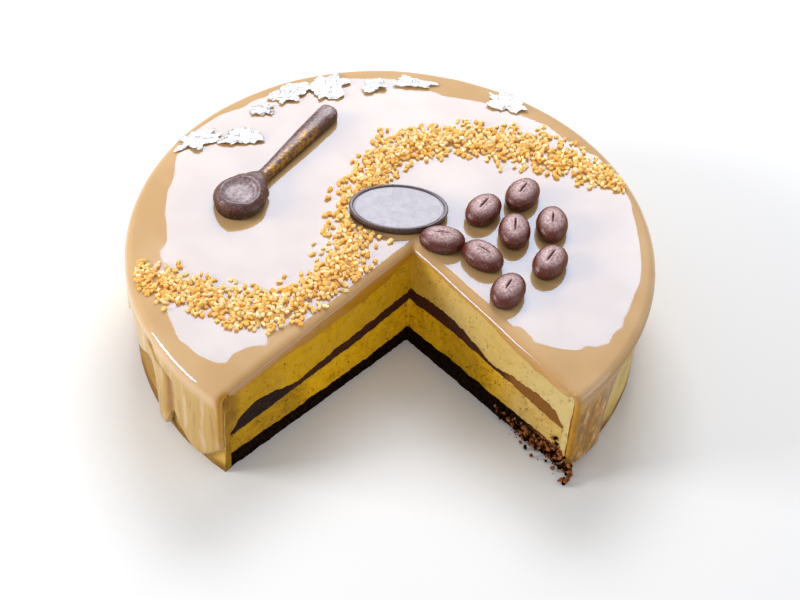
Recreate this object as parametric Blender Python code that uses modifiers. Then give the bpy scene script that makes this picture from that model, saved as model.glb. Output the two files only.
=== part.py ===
"""A round opera cake with coffee glaze, one wedge cut out, and its chocolate and gold decorations.

Units are metres, +Z is up and the floor is z = 0. The origin is the centre of the round cake, and the
missing wedge opens towards -Y. Every layer is a sector lofted round the tip of the cut, section by section.
"""

import math
import random

import bpy
import bmesh
from mathutils import Euler, Matrix, Vector, noise

# Overall sizes
RIM_RADIUS = 0.110
WALL_RADIUS = 0.1065
CAKE_HEIGHT = 0.0485
GLAZE_THICKNESS = 0.003
CLEARANCE = 0.0003

# The cut: its tip, and the two corners where it leaves the rim, as angles about the origin in degrees.
# The knife went in aslant, so the foot of the tip comes forward, and the lean fades towards the rim.
TIP = Vector((0.0092, -0.0016))
RIGHT_CORNER = 314.8
LEFT_CORNER = 236.3
TIP_LEAN = 0.0100

# Layers, from the floor up. Of a pair, the first is at the right face of the cut, the second at the left.
RING_WALL = 0.0035
BASE_HEIGHT = 0.0072
BASE_RISE = 0.0028
BASE_SIDE = (0.0012, -0.0012)
CREAM_TOP = 0.0212
CREAM_SIDE = (0.0018, -0.0016)
FILLING = 0.0045
FILLING_EDGE = 0.0016
FILLING_TAPER = 0.0070
FILLING_BUMP = (0.0020, 0.0004, 0.018)
FILLING_BUMP_AT = (0.018, 0.030)
FILLING_PINCH = (-0.0028, -0.0020, 0.011)
FILLING_PINCH_AT = (0.053, 0.068)
FILLING_SWELL = (0.0028, 0.0050, 0.014)
FILLING_SWELL_AT = (0.084, 0.091)
LAYER_ROUGHNESS = 0.0005
SIDE_FADE = 0.025
SHOULDER = 0.0032

# Glaze on the side wall
SKIN = 0.0014
RIM_BULGE = 0.0009
HEM = 0.031
HEM_WAVE = 0.0045
HEM_FLOOR = 0.0030
HEM_CEILING = 0.0400
RIM_ROUND = 0.0036
# Each run of glaze down the wall: angle about the origin, half width in degrees, length, extra thickness.
# A negative length is a stretch where the glaze stopped short.
RUNS = (
    (229.0, 10.0, 0.030, 0.0006),
    (217.5, 2.6, 0.030, 0.0012),
    (206.0, 5.0, 0.006, 0.0008),
    (190.0, 5.0, 0.015, 0.0009),
    (166.0, 3.6, 0.022, 0.0014),
    (146.0, 5.5, 0.009, 0.0008),
    (124.0, 3.2, 0.025, 0.0014),
    (101.0, 4.6, 0.012, 0.0010),
    (78.0, 3.4, 0.023, 0.0014),
    (57.0, 5.2, 0.010, 0.0008),
    (37.0, 3.4, 0.020, 0.0013),
    (14.0, 4.0, 0.015, 0.0012),
    (-6.0, 4.0, 0.006, 0.0008),
    (-24.0, 9.0, -0.012, 0.0000),
    (-35.5, 3.0, 0.028, 0.0004),
    (-42.0, 6.0, 0.029, 0.0008),
)

# Chocolate coffee beans: centre, and direction of the slit in degrees
BEAN_LENGTH = 0.0190
BEAN_WIDTH = 0.0134
BEAN_HEIGHT = 0.0082
SLIT_WIDTH = 0.12
SLIT_DEPTH = 0.26
SLIT_LENGTH = 0.80
BEANS = (
    (0.0532, 0.0285, 62.0),
    (0.0370, 0.0175, 58.0),
    (0.0501, 0.0065, 88.0),
    (0.0656, 0.0121, 87.0),
    (0.0206, -0.0017, -2.0),
    (0.0374, -0.0092, -36.0),
    (0.0648, -0.0098, 63.0),
    (0.0479, -0.0275, 66.0),
)

# Oval chocolate plaque
PLAQUE_CENTRE = Vector((0.0018, 0.0155))
PLAQUE_LENGTH = 0.0414
PLAQUE_WIDTH = 0.0268
PLAQUE_HEIGHT = 0.0036
PLAQUE_BORDER = 0.0013
PLAQUE_RECESS = 0.0006
PLAQUE_TURN = 2.0

# Chocolate spoon, from the far end of its bowl to the end of its handle
SPOON_START = Vector((-0.0697, 0.0050))
SPOON_END = Vector((-0.0303, 0.0742))
SPOON_BOWL = 0.0220
SPOON_BOWL_WIDTH = 0.0224
SPOON_NECK_WIDTH = 0.0056
SPOON_HANDLE_WIDTH = 0.0094
SPOON_BOWL_HEIGHT = 0.0080
SPOON_HANDLE_HEIGHT = 0.0060
SPOON_DEPRESSION = 0.0034

# Silver leaf: centre, length, width, turn in degrees
LEAF_THICKNESS = 0.0005
LEAF_RISE = 0.0018
LEAVES = (
    (-0.0880, 0.0500, 0.022, 0.012, 32.0),
    (-0.0685, 0.0550, 0.019, 0.013, 8.0),
    (-0.0622, 0.0725, 0.014, 0.008, 0.0),
    (-0.0515, 0.0835, 0.019, 0.014, 50.0),
    (-0.0330, 0.0925, 0.024, 0.017, 62.0),
    (-0.0145, 0.0945, 0.014, 0.009, 10.0),
    (0.0040, 0.0985, 0.021, 0.009, -4.0),
    (0.0460, 0.0905, 0.018, 0.012, -35.0),
)

# Gold crisps: the line that they follow, and half the width of their band
CRISP_PATH = (
    (-0.103, -0.033, 0.006),
    (-0.088, -0.034, 0.009),
    (-0.072, -0.040, 0.010),
    (-0.057, -0.0455, 0.010),
    (-0.044, -0.0435, 0.009),
    (-0.031, -0.033, 0.009),
    (-0.0195, -0.018, 0.009),
    (-0.0165, 0.004, 0.011),
    (-0.0145, 0.024, 0.009),
    (-0.0085, 0.0425, 0.009),
    (0.004, 0.057, 0.010),
    (0.0195, 0.0622, 0.010),
    (0.037, 0.0625, 0.010),
    (0.054, 0.0603, 0.011),
    (0.070, 0.0549, 0.010),
    (0.084, 0.0494, 0.007),
    (0.096, 0.0420, 0.004),
)
CRISP_COUNT = 290
CRISP_SIZE = 0.0024
CRISP_SINK = 0.0007
CRISP_SPACING = 0.0028
CRISP_SEED = 11

# How finely the loft is cut
LAYER_STEPS = 26
GLAZE_STEPS = 74
STATIONS = (0.0, 0.13, 0.26, 0.38, 0.50, 0.58, 0.66, 0.74, 0.82, 0.91, 1.0)
LIP_ANGLE = math.radians(1.6)
LIP_DROP = 0.0008


def direction(angle):
    """Unit vector in plan at an angle in radians."""
    return Vector((math.cos(angle), math.sin(angle)))


def corner_angle(degrees):
    """Angle about the tip of a cut corner that is given by its angle about the origin."""
    corner = RIM_RADIUS * direction(math.radians(degrees)) - TIP
    return math.atan2(corner.y, corner.x)


START_ANGLE = corner_angle(RIGHT_CORNER)
END_ANGLE = corner_angle(LEFT_CORNER) + 2 * math.pi


def reach(angle, radius):
    """Distance from the tip, along an angle, to the circle of a radius about the origin."""
    along = TIP.dot(direction(angle))
    return -along + math.sqrt(along * along - TIP.length_squared + radius * radius)


def section_angles(steps, lips):
    """Angles of the sections from the right face of the cut, round the back, to the left face."""
    sweep = END_ANGLE - START_ANGLE
    angles = [START_ANGLE + sweep * i / steps for i in range(steps + 1)]
    if lips:
        angles.insert(1, START_ANGLE + LIP_ANGLE)
        angles.insert(-1, END_ANGLE - LIP_ANGLE)
    return angles


def ripple(point, scale, seed):
    """Smooth noise from -1 to 1 over the plan, with features of a given size."""
    return noise.noise(Vector((point.x / scale, point.y / scale, seed)))


def bell(value, centre, width):
    """A smooth bump of height 1 about a centre."""
    return math.exp(-(((value - centre) / width) ** 2))


def between(pair, side):
    """Value between the right face, where side is 0, and the left face, where it is 1."""
    return pair[0] + (pair[1] - pair[0]) * side


def polar(point):
    """Distance of a point from the tip, and how far round the cake it lies, from 0 to 1."""
    offset = point - TIP
    angle = math.atan2(offset.y, offset.x)
    if angle < START_ANGLE - 0.01:
        angle += 2 * math.pi
    return offset.length, (angle - START_ANGLE) / (END_ANGLE - START_ANGLE)


def smooth(share):
    """Smooth step from 0 to 1."""
    share = max(0.0, min(1.0, share))
    return share * share * (3 - 2 * share)


def base_top(point):
    """Height of the top of the chocolate sponge, which rises towards the rim."""
    far, side = polar(point)
    lift = between(BASE_SIDE, side) * min(1.0, far / SIDE_FADE)
    rise = BASE_RISE * (far / WALL_RADIUS) ** 2
    return BASE_HEIGHT + rise + lift + LAYER_ROUGHNESS * ripple(point, 0.014, 1.0)


def cream_top(point):
    """Height of the top of the lower cream."""
    far, side = polar(point)
    lift = between(CREAM_SIDE, side) * min(1.0, far / SIDE_FADE)
    return CREAM_TOP + lift + LAYER_ROUGHNESS * ripple(point, 0.012, 2.0)


def filling_top(point):
    """Height of the top of the chocolate filling, which swells, pinches, swells again and thins to an edge."""
    far, side = polar(point)
    thickness = FILLING
    for swell, place in (
        (FILLING_BUMP, FILLING_BUMP_AT),
        (FILLING_PINCH, FILLING_PINCH_AT),
        (FILLING_SWELL, FILLING_SWELL_AT),
    ):
        thickness += between(swell, side) * bell(far, between(place, side), swell[2])
    room = WALL_RADIUS - RING_WALL - point.length
    thickness = FILLING_EDGE + (thickness - FILLING_EDGE) * smooth(0.1 + room / FILLING_TAPER)
    return cream_top(point) + thickness + LAYER_ROUGHNESS * ripple(point, 0.010, 3.0)


def leaned(plan, far, z, span):
    """A point of a section, brought forward below the top by the lean of the cut."""
    lean = TIP_LEAN * max(0.0, 1 - far / span) * (1 - z / CAKE_HEIGHT)
    point = TIP + far * plan
    return (point.x, point.y - lean, z)


def wall_angle(angle, radius):
    """Angle about the origin, in degrees from -180 to 180, of a point on the wall."""
    point = TIP + reach(angle, radius) * direction(angle)
    return math.degrees(math.atan2(point.y, point.x))


def turn_between(a, b):
    """Smallest turn between two angles in degrees."""
    return (a - b + 180.0) % 360.0 - 180.0


def hem_at(degrees):
    """Height of the lower edge of the glaze, and its extra thickness, at an angle about the origin."""
    around = direction(math.radians(degrees))
    hem = HEM + HEM_WAVE * noise.noise(Vector((around.x * 2.4, around.y * 2.4, 5.0)))
    thicker = 0.0
    for centre, width, length, swell in RUNS:
        near = bell(turn_between(degrees, centre), 0.0, width)
        hem -= length * near
        thicker += swell * near
    return min(max(hem, HEM_FLOOR), HEM_CEILING), thicker


def add_material(obj, name, colour, roughness, metallic=0.0):
    """Gives an object its own Principled material."""
    material = bpy.data.materials.new(name)
    material.use_nodes = True
    shader = material.node_tree.nodes["Principled BSDF"]
    shader.inputs["Base Color"].default_value = (*colour, 1.0)
    shader.inputs["Roughness"].default_value = roughness
    shader.inputs["Metallic"].default_value = metallic
    obj.data.materials.append(material)


def add_object(name, bm, collection):
    """Makes an object from a bmesh, with its faces pointing out, and frees the bmesh."""
    bmesh.ops.remove_doubles(bm, verts=bm.verts, dist=1e-6)
    bmesh.ops.recalc_face_normals(bm, faces=bm.faces)
    mesh = bpy.data.meshes.new(name)
    bm.to_mesh(mesh)
    bm.free()
    obj = bpy.data.objects.new(name, mesh)
    collection.objects.link(obj)
    return obj


def loft_sector(section, angles):
    """Lofts unlike sections round the tip of the cut into one closed solid.

    A section is a list of (distance from the tip, height) points, from the tip along the underside, round the
    outside and back to the tip along the top. Each quad is split from its inner corner on the earlier section,
    so that two layers that share a boundary are split alike.
    """
    bm = bmesh.new()
    rows = []
    for angle in angles:
        plan = direction(angle)
        span = reach(angle, WALL_RADIUS - RING_WALL)
        rows.append([bm.verts.new(leaned(plan, far, z, span)) for far, z in section(angle)])
    near = [far for far, _ in section(angles[0])]
    for first, second in zip(rows, rows[1:]):
        for k in range(len(first) - 1):
            a, b, c, d = first[k], first[k + 1], second[k + 1], second[k]
            if near[k] <= near[k + 1]:
                split = ((a, b, c), (a, c, d))
            else:
                split = ((a, b, d), (b, c, d))
            for corners in split:
                if len({tuple(v.co) for v in corners}) == 3:
                    bm.faces.new(corners)
    bm.faces.new(rows[0])
    bm.faces.new(reversed(rows[-1]))
    return bm


def surface_points(angle, radius, height, offset):
    """Points of a wavy layer boundary along one section, from the tip outwards."""
    plan = direction(angle)
    far = reach(angle, radius)
    return [(share * far, height(TIP + share * far * plan) + offset) for share in STATIONS]


def layer_section(radius, under, over):
    """The section function of a layer between two boundaries; an underside of None is the flat floor."""

    def section(angle):
        low = [(0.0, 0.0), (reach(angle, radius), 0.0)]
        if under:
            low = surface_points(angle, radius, under, CLEARANCE / 2)
        high = surface_points(angle, radius, over, -CLEARANCE / 2)
        return low + high[::-1]

    return section


def make_layers(collection):
    """The three inner layers, each ending inside the ring of mousse."""
    radius = WALL_RADIUS - RING_WALL - CLEARANCE
    angles = section_angles(LAYER_STEPS, lips=False)
    layers = (
        ("base_sponge", None, base_top, (0.045, 0.018, 0.010), 0.85),
        ("lower_cream", base_top, cream_top, (0.72, 0.52, 0.20), 0.70),
        ("chocolate_filling", cream_top, filling_top, (0.115, 0.045, 0.022), 0.50),
    )
    for name, under, over, colour, roughness in layers:
        bm = loft_sector(layer_section(radius, under, over), angles)
        add_material(add_object(name, bm, collection), name, colour, roughness)


def mousse_section(angle):
    """Section of the mousse: a cap over the filling, and a ring round all the layers down to the floor."""
    inner = WALL_RADIUS - RING_WALL
    top = CAKE_HEIGHT - GLAZE_THICKNESS
    far = reach(angle, WALL_RADIUS)
    points = surface_points(angle, inner, filling_top, CLEARANCE / 2)
    points += [(reach(angle, inner), 0.0), (far, 0.0), (far, top - SHOULDER)]
    points += [(far - 0.3 * SHOULDER, top - 0.3 * SHOULDER), (far - SHOULDER, top), (0.0, top)]
    return points


def make_mousse(collection):
    """The coffee mousse that caps and rings the cake."""
    bm = loft_sector(mousse_section, section_angles(LAYER_STEPS, lips=False))
    obj = add_object("coffee_mousse", bm, collection)
    add_material(obj, "coffee_mousse", (0.78, 0.66, 0.38), 0.60)


def glaze_section(angle):
    """Section of the glaze: a sheet over the top, a rounded rim, and a skirt that ends in an uneven hem."""
    hem, thicker = hem_at(wall_angle(angle, WALL_RADIUS))
    inside = reach(angle, WALL_RADIUS + CLEARANCE)
    outside = inside + SKIN + thicker
    rim = inside + RIM_BULGE + SKIN
    under = CAKE_HEIGHT - GLAZE_THICKNESS + CLEARANCE
    top = CAKE_HEIGHT
    if angle - START_ANGLE < LIP_ANGLE / 2 or END_ANGLE - angle < LIP_ANGLE / 2:
        top -= LIP_DROP
    middle = (hem + top - RIM_ROUND) / 2
    points = [(0.0, under), (inside - SHOULDER, under), (inside - 0.3 * SHOULDER, under - 0.3 * SHOULDER)]
    points += [(inside, under - SHOULDER), (inside, hem), (outside - 0.4 * SKIN, hem - 0.0004)]
    points += [(outside, hem + 0.0012), (max(outside, rim) - 0.0004, middle), (rim, top - RIM_ROUND)]
    points += [(rim - 0.3 * RIM_ROUND, top - 0.3 * RIM_ROUND), (rim - RIM_ROUND, top), (0.0, top)]
    return points


def path_point(share):
    """Point and half width on the line of the crisps, at a share of its length, through a smooth spline."""
    position = share * (len(CRISP_PATH) - 1)
    k = min(int(position), len(CRISP_PATH) - 2)
    t = position - k
    last = len(CRISP_PATH) - 1
    p0, p1, p2, p3 = (Vector(CRISP_PATH[min(max(i, 0), last)]) for i in (k - 1, k, k + 1, k + 2))
    curve = 2 * p1 + (p2 - p0) * t + (2 * p0 - 5 * p1 + 4 * p2 - p3) * t * t
    return (curve + (3 * p1 - p0 - 3 * p2 + p3) * t * t * t) / 2


def inside_oval(point, centre, length, width, turn):
    """Whether a point in plan lies in a turned oval."""
    local = Matrix.Rotation(-math.radians(turn), 2) @ (point - centre)
    return (2 * local.x / length) ** 2 + (2 * local.y / width) ** 2 < 1.0


def distance_to_line(point, start, end):
    """Distance in plan from a point to a straight line between two points."""
    along = end - start
    share = max(0.0, min(1.0, (point - start).dot(along) / along.length_squared))
    return (point - start - share * along).length


def is_clear(point, margin):
    """Whether a crisp at this point is on the glaze and clear of every other decoration."""
    for degrees in (RIGHT_CORNER, LEFT_CORNER):
        if distance_to_line(point, TIP, RIM_RADIUS * direction(math.radians(degrees))) < 2 * margin:
            return False
    if point.length > RIM_RADIUS - RIM_ROUND - margin:
        return False
    room = 2 * margin
    if inside_oval(point, PLAQUE_CENTRE, PLAQUE_LENGTH + room, PLAQUE_WIDTH + room, PLAQUE_TURN):
        return False
    if distance_to_line(point, SPOON_START, SPOON_END) < SPOON_BOWL_WIDTH / 2 + margin:
        return False
    for x, y, turn in BEANS:
        if inside_oval(point, Vector((x, y)), BEAN_LENGTH + room, BEAN_WIDTH + room, turn):
            return False
    for x, y, length, width, turn in LEAVES:
        if inside_oval(point, Vector((x, y)), length + room, width + room, turn):
            return False
    return True


def crisp_places(count, spacing, rng):
    """Places for the crisps, thickest along the middle of their band and no nearer than the spacing."""
    places = []
    while len(places) < count:
        x, y, half_width = path_point(rng.random())
        beside = Vector((rng.gauss(0.0, 0.55), rng.gauss(0.0, 0.55))) * half_width
        point = Vector((x, y)) + beside
        if beside.length < 1.15 * half_width and is_clear(point, CRISP_SIZE):
            if all((point - other).length > spacing for other in places):
                places.append(point)
    return places


def add_crisp(point, rng, number, collection):
    """One crisp: a small uneven block, turned at random and a little sunk in the glaze."""
    size = Vector([CRISP_SIZE * rng.uniform(0.80, 1.12) for _ in range(3)])
    turn = Euler((rng.uniform(-0.35, 0.35), rng.uniform(-0.35, 0.35), rng.uniform(0.0, math.pi)))
    place = Vector((*point, CAKE_HEIGHT + size.z / 2 - CRISP_SINK))
    bm = bmesh.new()
    bmesh.ops.create_cube(bm, size=1.0, matrix=Matrix.LocRotScale(place, turn, size))
    add_object(f"crisp_{number:03d}", bm, collection)


def make_glaze(collection):
    """The glaze, with the gold crisps joined to it by one union."""
    obj = add_object("glaze", loft_sector(glaze_section, section_angles(GLAZE_STEPS, lips=True)), collection)
    crisps = bpy.data.collections.new("crisps")
    bpy.context.scene.collection.children.link(crisps)
    rng = random.Random(CRISP_SEED)
    for number, point in enumerate(crisp_places(CRISP_COUNT, CRISP_SPACING, rng)):
        add_crisp(point, rng, number, crisps)
    join = obj.modifiers.new("join_crisps", "BOOLEAN")
    join.operation = "UNION"
    join.operand_type = "COLLECTION"
    join.collection = crisps
    graph = bpy.context.evaluated_depsgraph_get()
    joined = bpy.data.meshes.new_from_object(obj.evaluated_get(graph))
    obj.modifiers.clear()
    obj.data = joined
    for crisp in list(crisps.objects):
        bpy.data.objects.remove(crisp)
    bpy.data.collections.remove(crisps)
    obj.data.materials.clear()
    add_material(obj, "glaze", (0.72, 0.46, 0.24), 0.12)


def make_bean(number, x, y, turn, collection):
    """A chocolate coffee bean: an egg with a flat foot and a narrow slit along its top."""
    bm = bmesh.new()
    lie_down = Matrix.Rotation(math.radians(90), 4, "Y")
    bmesh.ops.create_uvsphere(bm, u_segments=16, v_segments=8, radius=1.0, matrix=lie_down)
    for vert in bm.verts:
        along, across, up = vert.co
        beside_slit = abs(math.degrees(math.atan2(across, up))) < 30.0
        if beside_slit and abs(along) < SLIT_LENGTH:
            if abs(across) > 0.01:
                vert.co.y = math.copysign(SLIT_WIDTH, across)
                vert.co.z = math.sqrt(1 - along * along - SLIT_WIDTH * SLIT_WIDTH)
            else:
                vert.co.z -= SLIT_DEPTH
        if up < -0.55:
            vert.co.z = -0.55
    shape = Matrix.Diagonal((BEAN_LENGTH / 2, BEAN_WIDTH / 2, BEAN_HEIGHT / 1.55, 1.0))
    bmesh.ops.transform(bm, matrix=shape, verts=bm.verts)
    obj = add_object(f"coffee_bean_{number}", bm, collection)
    lowest = min(v.co.z for v in obj.data.vertices)
    obj.location = (x, y, CAKE_HEIGHT + CLEARANCE - lowest)
    obj.rotation_euler.z = math.radians(turn)
    obj.data.shade_smooth()
    add_material(obj, obj.name, (0.13, 0.060, 0.045), 0.38)


def make_plaque(collection):
    """The oval plaque: a turned disc with a raised border, stretched to an oval. Its face is bare."""
    radius = PLAQUE_LENGTH / 2
    field = PLAQUE_HEIGHT - PLAQUE_RECESS
    edge = 0.0005
    profile = (
        (0.0, field),
        (radius - PLAQUE_BORDER - edge, field),
        (radius - PLAQUE_BORDER, PLAQUE_HEIGHT),
        (radius - edge, PLAQUE_HEIGHT),
        (radius, PLAQUE_HEIGHT - edge),
        (radius, edge),
        (radius - edge, 0.0),
        (0.0, 0.0),
    )
    mesh = bpy.data.meshes.new("plaque")
    pairs = [(i, i + 1) for i in range(len(profile) - 1)]
    mesh.from_pydata([(r, 0.0, z) for r, z in profile], pairs, [])
    obj = bpy.data.objects.new("plaque", mesh)
    collection.objects.link(obj)
    turned = obj.modifiers.new("turned", "SCREW")
    turned.steps = 36
    turned.render_steps = 36
    turned.use_merge_vertices = True
    turned.merge_threshold = 0.00001
    turned.use_smooth_shade = False
    obj.location = (*PLAQUE_CENTRE, CAKE_HEIGHT + CLEARANCE)
    obj.rotation_euler.z = math.radians(PLAQUE_TURN)
    obj.scale.y = PLAQUE_WIDTH / PLAQUE_LENGTH
    add_material(obj, "plaque", (0.12, 0.065, 0.060), 0.35)


def spoon_outline(along, length):
    """Half width and height of the spoon at a distance from the far end of its bowl."""
    bowl = SPOON_BOWL / 2
    half = SPOON_NECK_WIDTH / 2
    half += (SPOON_HANDLE_WIDTH - SPOON_NECK_WIDTH) / 2 * smooth((along - SPOON_BOWL) / (0.75 * length))
    end = SPOON_HANDLE_WIDTH / 2
    if along > length - end:
        half *= math.sqrt(max(0.0, 1 - ((along - length + end) / end) ** 2))
    if along < SPOON_BOWL:
        round_part = SPOON_BOWL_WIDTH / 2 * math.sqrt(max(0.0, 1 - ((along - bowl) / bowl) ** 2))
        half = round_part if along < bowl else max(half, round_part)
    height = SPOON_BOWL_HEIGHT + (SPOON_HANDLE_HEIGHT - SPOON_BOWL_HEIGHT) * smooth(along / SPOON_BOWL - 0.5)
    return half, height


def make_spoon(collection):
    """The chocolate spoon: cushion-shaped cross sections lofted along it, with a hollow in the bowl."""
    length = (SPOON_END - SPOON_START).length
    stations = 22
    around = 16
    bm = bmesh.new()
    rows = []
    for i in range(stations + 1):
        share = (1 - math.cos(math.pi * i / stations)) / 2
        share = 0.5 * share + 0.5 * i / stations
        along = length * min(max(share, 0.004), 0.996)
        half, height = spoon_outline(along, length)
        bowl = SPOON_BOWL / 2
        row = []
        for k in range(around):
            angle = 2 * math.pi * k / around
            across = half * math.copysign(abs(math.cos(angle)) ** 0.8, math.cos(angle))
            rise = math.copysign(math.sqrt(abs(math.sin(angle))), math.sin(angle))
            lift = height * max(0.0, 0.35 + 0.65 * rise) * min(1.0, 0.35 + half / 0.006)
            hollow = ((along - bowl) / (0.72 * bowl)) ** 2 + (across / (0.36 * SPOON_BOWL_WIDTH)) ** 2
            if math.sin(angle) > 0.3 and hollow < 1.0:
                lift -= SPOON_DEPRESSION * (1 - hollow)
            row.append(bm.verts.new((along, across, lift)))
        rows.append(row)
    for first, second in zip(rows, rows[1:]):
        for k in range(around):
            bm.faces.new((first[k], first[(k + 1) % around], second[(k + 1) % around], second[k]))
    bm.faces.new(rows[0])
    bm.faces.new(rows[-1])
    obj = add_object("chocolate_spoon", bm, collection)
    heading = SPOON_END - SPOON_START
    obj.location = (*SPOON_START, CAKE_HEIGHT + CLEARANCE)
    obj.rotation_euler.z = math.atan2(heading.y, heading.x)
    obj.data.shade_smooth()
    add_material(obj, "chocolate_spoon", (0.11, 0.048, 0.036), 0.40)


def make_leaf(number, x, y, length, width, turn, collection):
    """A scrap of silver leaf: a thin crumpled sheet with a ragged outline."""
    bm = bmesh.new()
    bmesh.ops.create_grid(bm, x_segments=6, y_segments=4, size=0.5)
    bmesh.ops.triangulate(bm, faces=bm.faces, quad_method="FIXED")
    for vert in bm.verts:
        u, v = 2 * vert.co.x, 2 * vert.co.y
        disc = Vector((u * math.sqrt(1 - v * v / 2), v * math.sqrt(1 - u * u / 2)))
        ragged = 0.84 + 0.36 * noise.noise(Vector((1.3 * disc.x, 1.3 * disc.y, number + 0.5)))
        wave = noise.noise(Vector((2 * disc.x, 2 * disc.y, number + 7.3)))
        vert.co.x = disc.x * ragged * length / 2
        vert.co.y = disc.y * ragged * width / 2
        vert.co.z = LEAF_RISE * (0.5 + 0.5 * wave)
    lowest = min(v.co.z for v in bm.verts)
    top = list(bm.faces)
    sheet = bmesh.ops.extrude_face_region(bm, geom=top)
    lifted = [item for item in sheet["geom"] if isinstance(item, bmesh.types.BMVert)]
    bmesh.ops.translate(bm, vec=(0.0, 0.0, LEAF_THICKNESS), verts=lifted)
    obj = add_object(f"silver_leaf_{number}", bm, collection)
    obj.location = (x, y, CAKE_HEIGHT + CLEARANCE - lowest)
    obj.rotation_euler.z = math.radians(turn)
    add_material(obj, obj.name, (0.90, 0.90, 0.91), 0.25, metallic=1.0)


def main():
    """Clears the scene and builds every piece of the cake."""
    for obj in list(bpy.data.objects):
        bpy.data.objects.remove(obj)
    collection = bpy.data.collections.new("opera_cake")
    bpy.context.scene.collection.children.link(collection)
    make_layers(collection)
    make_mousse(collection)
    make_glaze(collection)
    make_plaque(collection)
    make_spoon(collection)
    for number, (x, y, turn) in enumerate(BEANS, start=1):
        make_bean(number, x, y, turn, collection)
    for number, (x, y, length, width, turn) in enumerate(LEAVES, start=1):
        make_leaf(number, x, y, length, width, turn, collection)


main()
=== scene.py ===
"""Looks of a round coffee-glazed opera cake with one wedge cut out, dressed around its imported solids.

Units are metres, +Z is up, the floor is z = 0 and the missing wedge opens towards -Y. The layers, the mousse and
the glaze are finer pieces of the same form as their solids: each is a block of small cells that is mapped into the
sector of the cake, so that its cut faces can carry pores, cracks and crumbs.
"""

import logging
import math
import random
from dataclasses import dataclass
from enum import Enum
from typing import Any, Callable, Sequence

import bmesh
import bpy
import numpy as np
from mathutils import Euler, Matrix, Vector, noise

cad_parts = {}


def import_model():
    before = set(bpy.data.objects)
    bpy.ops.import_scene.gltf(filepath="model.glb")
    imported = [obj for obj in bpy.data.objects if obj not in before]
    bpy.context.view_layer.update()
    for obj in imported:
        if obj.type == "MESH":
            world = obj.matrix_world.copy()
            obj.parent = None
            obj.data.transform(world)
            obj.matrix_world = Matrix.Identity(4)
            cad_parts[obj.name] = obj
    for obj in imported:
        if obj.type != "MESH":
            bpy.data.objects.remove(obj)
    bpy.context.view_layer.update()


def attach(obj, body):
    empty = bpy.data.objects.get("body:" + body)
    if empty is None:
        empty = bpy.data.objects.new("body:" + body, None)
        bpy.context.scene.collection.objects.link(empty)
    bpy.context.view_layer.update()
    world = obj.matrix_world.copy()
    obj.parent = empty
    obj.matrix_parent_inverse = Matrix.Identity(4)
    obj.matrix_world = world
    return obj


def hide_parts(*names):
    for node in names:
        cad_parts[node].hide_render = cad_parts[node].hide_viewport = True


log = logging.getLogger("opera_cake")

BODY = "root"
MERGE_GAP = 2e-6
Array = np.ndarray

# The cake's own sizes, the same as those of its solids
RIM_RADIUS = 0.110
WALL_RADIUS = 0.1065
CAKE_HEIGHT = 0.0485
GLAZE_THICKNESS = 0.003
CLEARANCE = 0.0003
TIP = np.array((0.0092, -0.0016))
RIGHT_CORNER = 314.8
LEFT_CORNER = 236.3
TIP_LEAN = 0.0100
RING_WALL = 0.0035
SHOULDER = 0.0032
SKIN = 0.0014
RIM_BULGE = 0.0009
RIM_ROUND = 0.0036

# Runs of glaze down the wall: angle about the origin, half width in degrees, length, extra thickness
HEM = 0.031
HEM_WAVE = 0.0045
HEM_FLOOR = 0.0030
HEM_CEILING = 0.0400
RUNS = (
    (229.0, 10.0, 0.030, 0.0006),
    (217.5, 2.6, 0.030, 0.0012),
    (206.0, 5.0, 0.006, 0.0008),
    (190.0, 5.0, 0.015, 0.0009),
    (166.0, 3.6, 0.022, 0.0014),
    (146.0, 5.5, 0.009, 0.0008),
    (124.0, 3.2, 0.025, 0.0014),
    (101.0, 4.6, 0.012, 0.0010),
    (78.0, 3.4, 0.023, 0.0014),
    (57.0, 5.2, 0.010, 0.0008),
    (37.0, 3.4, 0.020, 0.0013),
    (14.0, 4.0, 0.015, 0.0012),
    (-6.0, 4.0, 0.006, 0.0008),
    (-24.0, 9.0, -0.012, 0.0000),
    (-35.5, 3.0, 0.028, 0.0004),
    (-42.0, 6.0, 0.029, 0.0008),
)

# Grooves in the glaze on the wall, with painted shade along them: angle about the origin, turn of the angle above
# mid height, half width in degrees, and depth
GROOVES = ((220.6, -7.5, 1.2, 0.0009), (-33.2, 0.0, 1.2, 0.0006), (-40.0, 2.0, 0.9, 0.0004))

# Chocolate coffee beans: centre, and direction of the slit in degrees
BEAN_LENGTH = 0.0190
BEAN_WIDTH = 0.0134
BEAN_HEIGHT = 0.0082
BEANS = (
    (0.0532, 0.0285, 62.0),
    (0.0370, 0.0175, 58.0),
    (0.0501, 0.0065, 88.0),
    (0.0656, 0.0121, 87.0),
    (0.0206, -0.0017, -2.0),
    (0.0374, -0.0092, -36.0),
    (0.0648, -0.0098, 63.0),
    (0.0479, -0.0275, 66.0),
)

# Oval plaque
PLAQUE_CENTRE = Vector((0.0018, 0.0155))
PLAQUE_LENGTH = 0.0414
PLAQUE_WIDTH = 0.0268
PLAQUE_HEIGHT = 0.0036
PLAQUE_TURN = 2.0

# Chocolate spoon, from the far end of its bowl to the end of its handle
SPOON_START = Vector((-0.0697, 0.0050))
SPOON_END = Vector((-0.0303, 0.0742))
SPOON_BOWL = 0.0220
SPOON_BOWL_WIDTH = 0.0224
SPOON_NECK_WIDTH = 0.0056
SPOON_HANDLE_WIDTH = 0.0094
SPOON_BOWL_HEIGHT = 0.0080
SPOON_HANDLE_HEIGHT = 0.0060
SPOON_DEPRESSION = 0.0034

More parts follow.
